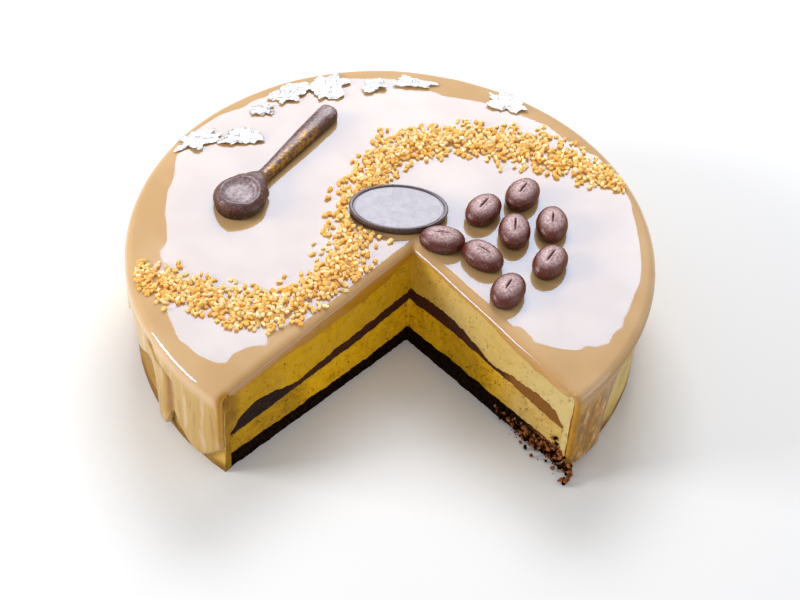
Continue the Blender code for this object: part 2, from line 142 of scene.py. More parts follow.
# Silver leaf: centre, length, width, turn in degrees
LEAF_RISE = 0.0018
LEAVES = (
    (-0.0880, 0.0500, 0.022, 0.012, 32.0),
    (-0.0685, 0.0550, 0.019, 0.013, 8.0),
    (-0.0622, 0.0725, 0.014, 0.008, 0.0),
    (-0.0515, 0.0835, 0.019, 0.014, 50.0),
    (-0.0330, 0.0925, 0.024, 0.017, 62.0),
    (-0.0145, 0.0945, 0.014, 0.009, 10.0),
    (0.0040, 0.0985, 0.021, 0.009, -4.0),
    (0.0460, 0.0905, 0.018, 0.012, -35.0),
)

# The line of the gold crisps: centre, and half the width of their band
CRISP_PATH = (
    (-0.103, -0.033, 0.006),
    (-0.088, -0.034, 0.009),
    (-0.072, -0.040, 0.010),
    (-0.057, -0.0455, 0.010),
    (-0.044, -0.0435, 0.009),
    (-0.031, -0.033, 0.009),
    (-0.0195, -0.018, 0.009),
    (-0.0165, 0.004, 0.011),
    (-0.0145, 0.024, 0.009),
    (-0.0085, 0.0425, 0.009),
    (0.004, 0.057, 0.010),
    (0.0195, 0.0622, 0.010),
    (0.037, 0.0625, 0.010),
    (0.054, 0.0603, 0.011),
    (0.070, 0.0549, 0.010),
    (0.084, 0.0494, 0.007),
    (0.096, 0.0420, 0.004),
)


class Slot(Enum):
    """The record's material slots."""

    SPONGE = "base_sponge"
    CREAM = "lower_cream"
    FILLING = "chocolate_filling"
    MOUSSE = "coffee_mousse"
    GLAZE = "glaze"
    CRISPS = "gold_crisps"
    CHOCOLATE = "chocolate"
    LEAF = "silver_leaf"


# Numbers over many points at once


def heading(angle: Array | float) -> Array:
    """Unit vectors in plan at angles in radians."""
    return np.stack((np.cos(angle), np.sin(angle)), axis=-1)


def bell(value: Array, centre: Array | float, width: float) -> Array:
    """A smooth bump of height 1 about a centre."""
    return np.exp(-(((value - centre) / width) ** 2))


def ease(share: Array) -> Array:
    """Smooth step from 0 to 1."""
    share = np.clip(share, 0.0, 1.0)
    return share * share * (3 - 2 * share)


def rounding(distance: Array, radius: float, least: float) -> Array:
    """Share of the full thickness at a distance from a rounded edge.

    Args:
        distance: distance from the edge.
        radius: distance at which the thickness is full.
        least: share that is left at the edge itself.

    Returns:
        Shares from least to 1.
    """
    near = np.clip(1 - distance / radius, 0.0, 1.0)
    return least + (1 - least) * np.sqrt(1 - near * near)


def ripple(points: Array, scale: float, seed: float) -> Array:
    """Smooth noise from about -1 to 1.

    Args:
        points: rows of two or three coordinates; rows of two are read as a plan.
        scale: size of the features in metres.
        seed: number that picks the pattern.

    Returns:
        One value for each row.
    """
    rows = points / scale
    if rows.shape[1] == 2:
        rows = np.column_stack((rows, np.full(len(rows), seed)))
    else:
        rows = rows + np.array((seed * 3.1, seed * 5.7, seed * 7.3))
    return np.array([noise.noise(Vector(row)) for row in rows])


def corner_angle(degrees: float) -> float:
    """Angle about the tip of a cut corner that is given by its angle about the origin."""
    corner = RIM_RADIUS * heading(math.radians(degrees)) - TIP
    return math.atan2(corner[1], corner[0])


START = corner_angle(RIGHT_CORNER)
END = corner_angle(LEFT_CORNER) + 2 * math.pi
HALF = (END - START) / 2


@dataclass(frozen=True)
class Plan:
    """The cake from above, as lines that run from its tip to its wall.

    Beside each cut face the lines are parallel to it, in a strip of their own, and between the strips they fan out.

    Attributes:
        strip: width of each strip.
        strip_share: share of the sweep's steps in each strip.
        crowding: pairs of a share of the fan's steps and the share of its turn that they take.
    """

    strip: float
    strip_share: float
    crowding: tuple[tuple[float, float], ...] = ((0.0, 0.0), (1.0, 1.0))

    def lines(self, sweep: Array) -> tuple[Array, Array, Array]:
        """Lines of the plan.

        Args:
            sweep: place round the cake, from 0 at the right face to 1 at the left one.

        Returns:
            The start and the direction of each line, and its distance from the nearer cut face, up to the strip.
        """
        share = self.strip_share
        beside = np.clip(np.minimum(sweep, 1 - sweep) / share, 0.0, 1.0)
        distance = self.strip * beside**1.5
        right = sweep <= 0.5
        along = np.where(right[:, None], heading(START), heading(END))
        inward = np.where(right[:, None], heading(START + math.pi / 2), heading(END - math.pi / 2))
        start = TIP + along * (distance / math.tan(HALF))[:, None] + inward * distance[:, None]
        apex = TIP + heading(START + HALF) * self.strip / math.sin(HALF)
        ends = []
        for face in (START, END):
            edge = self.reach(apex[None, :], heading(face)[None, :], WALL_RADIUS)[0]
            rim = apex + edge * heading(face)
            ends.append(math.atan2(rim[1], rim[0]) % (2 * math.pi))
        first, last = ends[0] - 2 * math.pi, ends[1]
        fan = np.clip((sweep - share) / (1 - 2 * share), 0.0, 1.0)
        steps, turns = zip(*self.crowding)
        angle = first + (last - first) * np.interp(fan, steps, turns)
        to_rim = WALL_RADIUS * heading(angle) - apex
        to_rim /= np.linalg.norm(to_rim, axis=1)[:, None]
        in_fan = (beside >= 1.0)[:, None]
        return np.where(in_fan, apex, start), np.where(in_fan, to_rim, along), distance

    @staticmethod
    def reach(start: Array, along: Array, radius: Array | float) -> Array:
        """Distance along each line to the circle of a radius about the origin."""
        forward = np.sum(start * along, axis=1)
        return -forward + np.sqrt(forward * forward - np.sum(start * start, axis=1) + radius * radius)


class LayerHeights:
    """Heights of the boundaries between the layers, at points in plan."""

    BASE_HEIGHT = 0.0072
    BASE_RISE = 0.0028
    BASE_SIDE = (0.0012, -0.0012)
    CREAM_TOP = 0.0212
    CREAM_SIDE = (0.0018, -0.0016)
    FILLING = 0.0045
    FILLING_EDGE = 0.0016
    FILLING_TAPER = 0.0070
    SWELLS = (
        ((0.0020, 0.0004), (0.018, 0.030), 0.018),
        ((-0.0028, -0.0020), (0.053, 0.068), 0.011),
        ((0.0028, 0.0050), (0.084, 0.091), 0.014),
    )
    ROUGHNESS = 0.0005
    SIDE_FADE = 0.025
    RAGGED = 0.00030

    @staticmethod
    def _polar(points: Array) -> tuple[Array, Array]:
        """Finds the distance of points from the tip, and how far round the cake they lie, from 0 to 1.

        Args:
            points: rows of x and y.

        Returns:
            The distances, and the places round the cake.
        """
        offset = points - TIP
        angle = np.arctan2(offset[:, 1], offset[:, 0])
        angle = np.where(angle < START - 0.01, angle + 2 * math.pi, angle)
        return np.linalg.norm(offset, axis=1), (angle - START) / (END - START)

    @staticmethod
    def _between(pair: tuple[float, float], side: Array) -> Array:
        """Values between the right face, where side is 0, and the left face, where it is 1."""
        return pair[0] + (pair[1] - pair[0]) * side

    def floor(self, points: Array) -> Array:
        """The flat underside of the cake."""
        return np.zeros(len(points))

    def base_top(self, points: Array) -> Array:
        """Top of the chocolate sponge, torn by the knife.

        Args:
            points: rows of x and y.

        Returns:
            The heights.
        """
        far, side = self._polar(points)
        lift = self._between(self.BASE_SIDE, side) * np.minimum(1.0, far / self.SIDE_FADE)
        rise = self.BASE_RISE * (far / WALL_RADIUS) ** 2
        torn = 2.0 * self.RAGGED * (ripple(points, 0.0042, 31.0) + 0.6 * ripple(points, 0.0018, 32.0))
        return self.BASE_HEIGHT + rise + lift + self.ROUGHNESS * ripple(points, 0.014, 1.0) + torn

    def cream_top(self, points: Array) -> Array:
        """Top of the lower cream.

        Args:
            points: rows of x and y.

        Returns:
            The heights.
        """
        far, side = self._polar(points)
        lift = self._between(self.CREAM_SIDE, side) * np.minimum(1.0, far / self.SIDE_FADE)
        ragged = self.RAGGED * (1.6 * ripple(points, 0.0060, 35.0) + 1.4 * ripple(points, 0.0030, 33.0))
        ragged += 1.1 * self.RAGGED * ripple(points, 0.0013, 34.0)
        return self.CREAM_TOP + lift + self.ROUGHNESS * ripple(points, 0.012, 2.0) + ragged

    def filling_top(self, points: Array) -> Array:
        """Top of the chocolate filling, which swells, pinches, swells again and thins to an edge.

        Args:
            points: rows of x and y.

        Returns:
            The heights.
        """
        far, side = self._polar(points)
        thickness = np.full(len(points), self.FILLING)
        for amount, place, width in self.SWELLS:
            thickness += self._between(amount, side) * bell(far, self._between(place, side), width)
        room = WALL_RADIUS - RING_WALL - np.linalg.norm(points, axis=1)
        thickness = self.FILLING_EDGE + (thickness - self.FILLING_EDGE) * ease(0.1 + room / self.FILLING_TAPER)
        ragged = self.RAGGED * (ripple(points, 0.0040, 36.0) + 1.1 * ripple(points, 0.0014, 37.0))
        return self.cream_top(points) + thickness + self.ROUGHNESS * ripple(points, 0.010, 3.0) + ragged


HEIGHTS = LayerHeights()


def leaned(plan: Array, heights: Array) -> Array:
    """Brings points forward below the top, by the lean of the cut near its tip.

    Args:
        plan: rows of x and y.
        heights: height of each point.

    Returns:
        Rows of x, y and z.
    """
    offset = plan - TIP
    far = np.linalg.norm(offset, axis=1)
    along = np.where(far[:, None] > 1e-9, offset / np.maximum(far, 1e-9)[:, None], heading(START))
    span = Plan.reach(np.broadcast_to(TIP, plan.shape), along, WALL_RADIUS - RING_WALL)
    lean = TIP_LEAN * np.maximum(0.0, 1 - far / span) * (1 - heights / CAKE_HEIGHT)
    return np.column_stack((plan[:, 0], plan[:, 1] - lean, heights))


def cell_block(steps: tuple[int, int, int]) -> bpy.types.Mesh:
    """A unit block whose surface is cut into cells.

    Args:
        steps: number of cells along, across and up.

    Returns:
        A mesh from (0, 0, 0) to (1, 1, 1), open at its end x = 0, where every line meets the tip.
    """
    bm = bmesh.new()
    bmesh.ops.create_cube(bm, size=1.0, matrix=Matrix.Translation((0.5, 0.5, 0.5)))
    for axis, count in enumerate(steps):
        edges = [e for e in bm.edges if abs(e.verts[0].co[axis] - e.verts[1].co[axis]) > 0.5]
        bmesh.ops.subdivide_edges(bm, edges=edges, cuts=count - 1, use_grid_fill=False)
    ends = [f for f in bm.faces if all(v.co.x < 1e-6 for v in f.verts)]
    bmesh.ops.delete(bm, geom=ends, context="FACES_ONLY")
    return mesh_of(bm)


def places_of(mesh: bpy.types.Mesh) -> Array:
    """Reads the places of a mesh's vertices.

    Args:
        mesh: the mesh.

    Returns:
        Rows of x, y and z.
    """
    flat = np.zeros(len(mesh.vertices) * 3)
    mesh.vertices.foreach_get("co", flat)
    return flat.reshape(-1, 3)


def shape_mesh(mesh: bpy.types.Mesh, places: Array, **values: Array) -> bpy.types.Mesh:
    """Moves a mesh's vertices, and keeps numbers for each of them.

    Args:
        mesh: the mesh.
        places: rows of x, y and z.
        values: numbers that a material reads, by their name.

    Returns:
        The same mesh.
    """
    mesh.vertices.foreach_set("co", places.ravel())
    for name, numbers in values.items():
        mesh.attributes.new(name, "FLOAT", "POINT").data.foreach_set("value", np.asarray(numbers, dtype=np.float32))
    return mesh


def mesh_of(bm: bmesh.types.BMesh) -> bpy.types.Mesh:
    """Makes a mesh of a bmesh, and frees it.

    Args:
        bm: the bmesh.

    Returns:
        The mesh.
    """
    mesh = bpy.data.meshes.new("piece")
    bm.to_mesh(mesh)
    bm.free()
    return mesh


def close_mesh(mesh: bpy.types.Mesh) -> bpy.types.Mesh:
    """Joins the vertices that have met, and turns the faces outwards.

    Args:
        mesh: the mesh.

    Returns:
        The same mesh.
    """
    bm = bmesh.new()
    bm.from_mesh(mesh)
    bmesh.ops.remove_doubles(bm, verts=bm.verts, dist=MERGE_GAP)
    bmesh.ops.dissolve_degenerate(bm, edges=bm.edges, dist=MERGE_GAP / 20)
    bmesh.ops.recalc_face_normals(bm, faces=bm.faces)
    bm.to_mesh(mesh)
    bm.free()
    return mesh


def place_piece(mesh: bpy.types.Mesh, name: str, material: bpy.types.Material, nodes: Sequence[str],
                smooth: bool = True) -> bpy.types.Object:
    """Makes a finished piece of a mesh and ties it to the frame.

    Args:
        mesh: the mesh, already in place.
        name: name of the piece.
        material: its finish.
        nodes: the solids that it stands for.
        smooth: whether its faces are shaded smooth.

    Returns:
        The new object.
    """
    mesh.name = name
    mesh.materials.clear()
    mesh.materials.append(material)
    if smooth:
        mesh.shade_smooth()
    piece = bpy.data.objects.new(name, mesh)
    bpy.context.scene.collection.objects.link(piece)
    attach(piece, BODY)
    if nodes:
        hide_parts(*nodes)
    log.info("%s: %d faces", name, len(mesh.polygons))
    return piece


# Materials


class Wire:
    """A socket of a material's nodes that adds Math nodes when it is used in an expression."""

    def __init__(self, recipe: "Recipe", socket: bpy.types.NodeSocket) -> None:
        """Keeps the recipe and the socket."""
        self.recipe, self.socket = recipe, socket

    def _math(self, operation: str, *values: Any) -> "Wire":
        """One Math node on some values."""
        return self.recipe.node("ShaderNodeMath", {"operation": operation}, dict(enumerate(values)))

    def __add__(self, other: Any) -> "Wire":
        """Sum."""
        return self._math("ADD", self, other)

    __radd__ = __add__

    def __sub__(self, other: Any) -> "Wire":
        """Difference."""
        return self._math("SUBTRACT", self, other)

    def __rsub__(self, other: Any) -> "Wire":
        """Difference, with this value taken away."""
        return self._math("SUBTRACT", other, self)

    def __mul__(self, other: Any) -> "Wire":
        """Product."""
        return self._math("MULTIPLY", self, other)

    __rmul__ = __mul__

    def step(self, low: float, high: float) -> "Wire":
        """Smooth step from 0 to 1.

        Args:
            low: value where the step is 0.
            high: value where it is 1, which may be the smaller.

        Returns:
            The step.
        """
        ends = (high, low, 1.0, 0.0) if low > high else (low, high, 0.0, 1.0)
        inputs = {0: self, **dict(enumerate(ends, start=1))}
        return self.recipe.node("ShaderNodeMapRange", {"interpolation_type": "SMOOTHSTEP"}, inputs)

    def most(self, other: Any) -> "Wire":
        """The larger of two values."""
        return self._math("MAXIMUM", self, other)

    def least(self, other: Any) -> "Wire":
        """The smaller of two values."""
        return self._math("MINIMUM", self, other)

    def clouded(self, cloud: "Wire", amount: float) -> "Wire":
        """This value made uneven by a noise, and kept from 0 to 1."""
        return (self + (cloud - 0.5) * amount).least(1.0).most(0.0)


Colour = tuple[float, float, float]


class Recipe:
    """Builds the nodes of one material round a Principled shader."""

    def __init__(self, name: str) -> None:
        """Starts a material.

        Args:
            name: name of the material.
        """
        self.material = bpy.data.materials.new(name)
        self.material.use_nodes = True
        self.tree = self.material.node_tree
        self.shader = self.tree.nodes["Principled BSDF"]
        self._object = None

    def node(self, kind: str, settings: dict[str, Any], inputs: dict[Any, Any], output: int = 0) -> Wire:
        """Adds a node.

        Args:
            kind: type of the node.
            settings: its properties, which are set first.
            inputs: values or wires, by the number or name of their socket.
            output: number of the output that is wanted.

        Returns:
            A wire from that output.
        """
        made = self.tree.nodes.new(kind)
        for key, value in settings.items():
            setattr(made, key, value)
        for key, value in inputs.items():
            self._feed(made.inputs[key], value)
        return Wire(self, made.outputs[output])

    def _feed(self, socket: bpy.types.NodeSocket, value: Any) -> None:
        """Links a wire to a socket, or sets its value.

        Args:
            socket: the socket.
            value: a wire, or a plain value.
        """
        if isinstance(value, Wire):
            self.tree.links.new(value.socket, socket)
        elif isinstance(value, tuple) and len(value) == 3 and socket.type == "RGBA":
            socket.default_value = (*value, 1.0)
        else:
            socket.default_value = value

    def set(self, **values: Any) -> None:
        """Feeds the shader's own sockets, named with underscores for spaces."""
        for key, value in values.items():
            self._feed(self.shader.inputs[key.replace("_", " ")], value)

    def dull(self, factor: Wire, **values: Any) -> None:
        """Mixes in a second shader.

        Args:
            factor: how much of it shows.
            values: its own sockets, as in set.
        """
        second = self.tree.nodes.new("ShaderNodeBsdfPrincipled")
        for key, value in values.items():
            self._feed(second.inputs[key.replace("_", " ")], value)
        mixed = self.tree.nodes.new("ShaderNodeMixShader")
        self._feed(mixed.inputs[0], factor)
        self.tree.links.new(self.shader.outputs[0], mixed.inputs[1])
        self.tree.links.new(second.outputs[0], mixed.inputs[2])
        self.tree.links.new(mixed.outputs[0], self.tree.nodes["Material Output"].inputs["Surface"])

    @property
    def place(self) -> Wire:
        """Object coordinates.

        Returns:
            A wire, the same one each time.
        """
        if self._object is None:
            self._object = self.node("ShaderNodeTexCoord", {}, {}, 3)
        return self._object

    def value(self, name: str) -> Wire:
        """A number that the piece's mesh keeps for each vertex."""
        return self.node("ShaderNodeAttribute", {"attribute_name": name}, {}, 2)

    def noise(self, size: float, detail: float = 2.0, rough: float = 0.5, warp: float = 0.0,
              place: Wire | None = None) -> Wire:
        """Noise from 0 to 1.

        Args:
            size: size of its features in metres.
            detail: number of finer octaves.
            rough: strength of the finer octaves.
            warp: distortion.
            place: coordinates, or None for object coordinates.

        Returns:
            The noise.
        """
        inputs = {"Vector": place or self.place, "Scale": 1.0 / size, "Detail": detail, "Roughness": rough,
                  "Distortion": warp}
        return self.node("ShaderNodeTexNoise", {}, inputs)

    def streaks(self, scale: tuple[float, float, float], detail: float, rough: float) -> Wire:
        """Noise on object coordinates that are scaled along each axis."""
        place = self.node("ShaderNodeMapping", {}, {0: self.place, "Scale": scale})
        return self.noise(1.0, detail, rough, place=place)

    def cells(self, size: float) -> Wire:
        """Distance to the nearest of scattered points, in cells of a given size."""
        return self.node("ShaderNodeTexVoronoi", {}, {"Vector": self.place, "Scale": 1.0 / size})

    def blend(self, factor: Any, first: Any, second: Any) -> Wire:
        """Colour between two colours."""
        return self.node("ShaderNodeMix", {"data_type": "RGBA"}, {0: factor, 6: first, 7: second}, 2)

    def coats(self, ground: Any, *coats: tuple[Any, Colour]) -> Wire:
        """Lays coats of colour over a ground.

        Args:
            ground: colour of the ground.
            coats: for each coat, how much of it shows and its colour.

        Returns:
            The colour.
        """
        for amount, colour in coats:
            ground = self.blend(amount, ground, colour)
        return ground

    def relief(self, height: Wire, depth: float, normal: Wire | None = None) -> Wire:
        """A bump normal.

        Args:
            height: height as a share of the depth.
            depth: depth in metres.
            normal: another bump below this one.

        Returns:
            The bent normal.
        """
        inputs = {"Height": height, "Distance": depth, "Strength": 1.0}
        if normal is not None:
            inputs["Normal"] = normal
        return self.node("ShaderNodeBump", {}, inputs)


@dataclass(frozen=True)
class GlazeFinish:
    """Caramel mirror glaze, amber where it is thin or turns over the cut."""

    caramel: Colour = (0.640, 0.395, 0.175)
    pale: Colour = (0.700, 0.455, 0.225)
    amber: Colour = (0.520, 0.230, 0.010)
    sheet: Colour = (0.520, 0.320, 0.085)
    # The next two: painted shade streaks and painted highlight streaks down the wall glaze
    painted_streak_shade: Colour = (0.330, 0.150, 0.040)
    ridge: Colour = (0.760, 0.560, 0.430)
    # milk and olive: painted highlight and painted dark reflection mottles on the corner panel
    milk: Colour = (0.740, 0.620, 0.380)
    olive: Colour = (0.150, 0.080, 0.004)
    # Painted shade on the right part of the rim
    deep: Colour = (0.400, 0.215, 0.060)
    # Painted shade in the grooves on the wall
    gully: Colour = (0.250, 0.090, 0.002)

    def make(self) -> bpy.types.Material:
        """Builds the material.

        Returns:
            The material.
        """
        r = Recipe("caramel_mirror_glaze")
        lip, wall = r.value("lip"), r.value("wall")
        deep, panel, gully = r.value("deep"), r.value("panel"), r.value("gully")
        runny = r.streaks((300.0, 300.0, 45.0), 2.0, 0.5)
        patchy = r.noise(0.0045, 3.0, 0.6)
        mottled = r.streaks((300.0, 300.0, 150.0), 3.0, 0.6)
        colour = r.coats(
            self.caramel,
            (r.noise(0.030).step(0.35, 0.70), self.pale),
            (wall, self.sheet),
            # Painted shade on the right part of the rim
            (deep, self.deep),
            # Painted shade and painted highlight streaks down the wall
            (runny.step(0.52, 0.70) * wall * 0.45, self.painted_streak_shade),
            (runny.step(0.46, 0.30) * wall * 0.40, self.ridge),
            (panel, self.amber),
            # Painted dark reflection and painted highlight mottles on the corner panel, over its real amber
            (mottled.step(0.62, 0.40) * panel * 0.75, self.olive),
            (mottled.step(0.58, 0.70) * panel * 0.70, self.milk),
            ((lip * (0.70 + patchy * 0.6)).least(1.0), self.amber),
            # Painted shade in the grooves on the wall
            (gully * (0.50 + patchy * 0.7), self.gully),
        )
        soft = r.relief(r.noise(0.012, 1.0), 0.00006)
        fine = r.relief(runny * wall, 0.00035, soft)
        r.set(Base_Color=colour, Roughness=0.035, Normal=fine, Subsurface_Weight=0.06, Subsurface_Scale=0.002,
              Subsurface_Radius=(1.0, 0.70, 0.35), IOR=1.5, Specular_IOR_Level=0.70,
              Specular_Tint=(0.25, 0.58, 1.0))
        matt = lip.step(0.62, 0.95) * 0.7 + panel + gully + deep + wall * 0.70
        # The second shader's golden specular tint is a painted reflection of golden surroundings, on the walls, rim,
        # panel and lip
        r.dull(matt.least(0.94), Base_Color=colour, Roughness=0.22, Normal=fine, Specular_IOR_Level=0.30,
               Specular_Tint=(1.0, 0.68, 0.22))
        return r.material


@dataclass(frozen=True)
class MousseFinish:
    """Coffee mousse with fine dark pores: painted pale where the right face is lit, deeper gold in painted shade and
    bounce light.
    """

    # pale and gold: painted light, painted shade and painted golden bounce light, set by the value deep
    pale: Colour = (0.640, 0.490, 0.210)
    cream: Colour = (0.760, 0.600, 0.200)
    gold: Colour = (0.720, 0.400, 0.006)
    pore: Colour = (0.200, 0.100, 0.010)
    shade: Colour = (0.460, 0.250, 0.010)
    # brown: painted shade, and near the foot partly glaze and crumbs
    brown: Colour = (0.230, 0.100, 0.016)

    def make(self) -> bpy.types.Material:
        """Builds the material.

        Returns:
            The material.
        """
        r = Recipe("coffee_mousse")
        deep = r.value("deep")
        cloud = r.noise(0.009, 3.0, 0.6)
        coarse = r.noise(0.0035, 4.0, 0.65)
        specks = r.cells(0.0011).step(0.34, 0.12) * r.noise(0.0045).step(0.52, 0.68)
        smear = r.streaks((90.0, 90.0, 700.0), 3.0, 0.6)
        colour = r.coats(
            self.pale,
            # Painted shade and golden bounce light
            (deep.clouded(cloud, 0.35), self.gold),
            (coarse.step(0.48, 0.70) * (0.15 + deep * 0.40), self.shade),
            # Painted shade, partly glaze and crumbs at the foot
            ((r.value("brown") * (0.6 + cloud * 0.8)).least(1.0), self.brown),
            (specks * 0.65, self.pore),
            (smear.step(0.55, 0.75) * 0.20, self.cream),
        )
        height = 0.4 * r.noise(0.0012, 3.0, 0.65) - specks * 0.6 + 0.3 * smear + 0.5 * coarse
        r.set(Base_Color=colour, Roughness=0.60, Specular_IOR_Level=0.08, Normal=r.relief(height, 0.00080),
              Subsurface_Weight=0.15, Subsurface_Scale=0.003, Subsurface_Radius=(1.0, 0.65, 0.25))
        return r.material


@dataclass(frozen=True)
class CreamFinish:
    """Golden custard cream with cracks and pits."""

    # gold and pale: painted golden bounce light and shade, paler where the right face is painted lit; brown: painted
    # shade
    gold: Colour = (0.940, 0.530, 0.006)
    pale: Colour = (0.660, 0.460, 0.160)
    shade: Colour = (0.560, 0.300, 0.010)
    brown: Colour = (0.300, 0.150, 0.010)
    crack: Colour = (0.220, 0.090, 0.010)

    def make(self) -> bpy.types.Material:
        """Builds the material.

        Returns:
            The material.
        """
        r = Recipe("golden_cream")
        cloud = r.noise(0.006, 4.0, 0.6)
        split = r.noise(0.0050, 3.0, 0.6, 1.2)
        split = split.step(0.485, 0.500) * split.step(0.515, 0.500) * r.noise(0.009).step(0.50, 0.64)
        dark = (split * 0.6).most(r.cells(0.0016).step(0.36, 0.10) * r.noise(0.004).step(0.48, 0.60))
        colour = r.coats(
            self.gold,
            # Painted light and shade
            (((1 - r.value("deep")) * (0.7 + cloud * 0.6)).least(1.0), self.pale),
            (cloud.step(0.45, 0.68) * 0.40, self.shade),
            (r.value("brown") * (0.6 + cloud * 0.8), self.brown),
            (dark * 0.75, self.crack),
        )
        height = 0.8 * r.noise(0.0016, 4.0, 0.7) - dark * 0.7
        r.set(Base_Color=colour, Roughness=0.55, Specular_IOR_Level=0.08, Normal=r.relief(height, 0.00080),
              Subsurface_Weight=0.12, Subsurface_Scale=0.002, Subsurface_Radius=(1.0, 0.55, 0.15))
        return r.material


@dataclass(frozen=True)
class FillingFinish:
    """Dark chocolate filling, lighter and milky towards the right face's outer end, with painted shade at the left
    one's.
    """

    dark: Colour = (0.058, 0.016, 0.008)
    # Painted shade at the outer end of the left face
    painted_end_shade: Colour = (0.020, 0.007, 0.006)
    milky: Colour = (0.225, 0.085, 0.014)

    def make(self) -> bpy.types.Material:
        """Builds the material.

        Returns:
            The material.
        """
        r = Recipe("chocolate_filling")
        cloud = r.noise(0.004, 3.0, 0.6)
        colour = r.coats(self.dark, (r.value("painted_end_shade"), self.painted_end_shade), (r.value("milky").clouded(cloud, 0.4), self.milky))
        height = r.noise(0.0014, 3.0, 0.6)
        r.set(Base_Color=colour, Roughness=0.60, Specular_IOR_Level=0.10, Normal=r.relief(height, 0.0003))
        return r.material


@dataclass(frozen=True)
class SpongeFinish:
    """Nearly black cocoa sponge, with a few red-brown crumbs."""

    dark: Colour = (0.006, 0.003, 0.002)
    brown: Colour = (0.026, 0.010, 0.005)
    red: Colour = (0.480, 0.165, 0.050)

    def make(self) -> bpy.types.Material:
        """Builds the material.

        Returns:
            The material.
        """
        r = Recipe("cocoa_sponge")
        crumb = r.noise(0.0014, 4.0, 0.7)
        warm = (r.value("warm") * crumb.step(0.35, 0.60)).least(1.0)
        colour = r.coats(self.dark, (crumb.step(0.42, 0.66), self.brown), (warm, self.red))
        height = crumb - r.cells(0.0012).step(0.40, 0.15) * 0.5
        r.set(Base_Color=colour, Roughness=0.85, Specular_IOR_Level=0.03, Normal=r.relief(height, 0.0006))
        return r.material


@dataclass(frozen=True)
class ChocolateFinish:
    """Moulded chocolate: a greyish painted sheen where it faces up, partly a real fat film, and painted shade low
    down.

    Attributes:
        name: name of the material.
        body: colour of its sides.
        bloom: colour of its painted sheen, partly a real greyish fat film.
        foot: colour of the painted shade on its sides low down.
        dots: colour of the fine pale dots, partly painted glints and partly specks of the fat film.
        dust: colour of the gold dust.
        grain: size of the bloom's patches.
        cover: how much of the top the painted sheen covers.
        patchy: how broken the painted sheen is.
        coat: how much of a glossy coat it has.
        roughness: how matt it is.
        gilded: how much gold dust it carries.
    """

    name: str
    body: Colour = (0.100, 0.030, 0.019)
    bloom: Colour = (0.340, 0.250, 0.250)
    foot: Colour = (0.024, 0.005, 0.002)
    dots: Colour = (0.580, 0.420, 0.400)
    dust: Colour = (0.400, 0.205, 0.014)
    grain: float = 0.0028
    cover: float = 0.6
    patchy: float = 0.5
    coat: float = 0.3
    roughness: float = 0.33
    gilded: float = 0.0

    def make(self) -> bpy.types.Material:
        """Builds the material.

        Returns:
            The material.
        """
        r = Recipe(self.name)
        cloud = r.noise(self.grain, 4.0, 0.65)
        broken = 1 - self.patchy + cloud.step(0.38, 0.62) * self.patchy
        # Painted sheen where it faces up, partly a real greyish fat film
        amount = (r.value("bloom") * self.cover * broken).least(1.0)
        # Pale dots: partly painted glints, partly specks of the fat film
        specks = r.cells(0.0008).step(0.28, 0.12) * r.noise(0.003, 1.0).step(0.44, 0.56)
        # Painted shade low on the sides, painted sheen and pale dots
        colour = r.coats(self.body, (r.value("low"), self.foot), (amount, self.bloom), (specks * 0.60, self.dots))
        metallic: Any = 0.0
        if self.gilded > 0:
            dust = r.noise(0.0022, 4.0, 0.75).step(0.44, 0.54) * r.value("gilt") * self.gilded
            colour = r.blend(dust, colour, self.dust)
            metallic = dust * 0.5
        height = 0.7 * r.noise(0.0009, 3.0, 0.6) + 0.5 * cloud + specks * 0.4
        r.set(Base_Color=colour, Roughness=self.roughness + amount * 0.12, Metallic=metallic,
              Normal=r.relief(height, 0.00026), Coat_Weight=self.coat, Coat_Roughness=0.24)
        return r.material


@dataclass(frozen=True)
class CrispFinish:
    """Pearly gold sugar crisps, each with its own tone, painted paler where one lies on others, with a faint painted
    glow.
    """

    gold: Colour = (1.000, 0.600, 0.180)
    pearl: Colour = (1.000, 0.820, 0.480)
    deep: Colour = (1.000, 0.470, 0.080)

    def make(self) -> bpy.types.Material:
        """Builds the material.

        Returns:
            The material.
        """
        r = Recipe("gold_crisps")
        shade = r.value("shade")
        colour = r.coats(self.deep, (shade.step(0.0, 0.5), self.gold), (shade.step(0.45, 1.0), self.pearl))
        sugar = r.noise(0.0007)
        # The faint orange emission is a painted glow that lifts the crisps' shade
        r.set(Base_Color=colour, Roughness=0.22 + sugar * 0.12, Metallic=0.0, Normal=r.relief(sugar, 0.00008),
              Coat_Weight=0.5, Coat_Roughness=0.12, Subsurface_Weight=0.8, Subsurface_Scale=0.0020,
              Subsurface_Radius=(1.0, 0.75, 0.40), Emission_Color=(1.0, 0.45, 0.08), Emission_Strength=0.08)
        return r.material


@dataclass(frozen=True)
class LeafFinish:
    """Crumpled silver leaf, with painted grey shade in its creases and folds."""

    silver: Colour = (0.970, 0.970, 0.980)
    shade: Colour = (0.260, 0.260, 0.310)

    def make(self) -> bpy.types.Material:
        """Builds the material.

        Returns:
            The material.
        """
        r = Recipe("silver_leaf")
        fold = r.noise(0.0036, 3.0, 0.6, 1.5)
        crease = r.noise(0.0060, 2.0, 0.5, 2.0)
        # Painted shade in the creases and folds
        dark = crease.step(0.475, 0.495) * crease.step(0.515, 0.495) + fold.step(0.64, 0.70)
        colour = r.blend(dark.least(1.0), self.silver, self.shade)
        r.set(Base_Color=colour, Roughness=0.28, Metallic=0.45, Normal=r.relief(fold, 0.0010))
        return r.material


# The cake


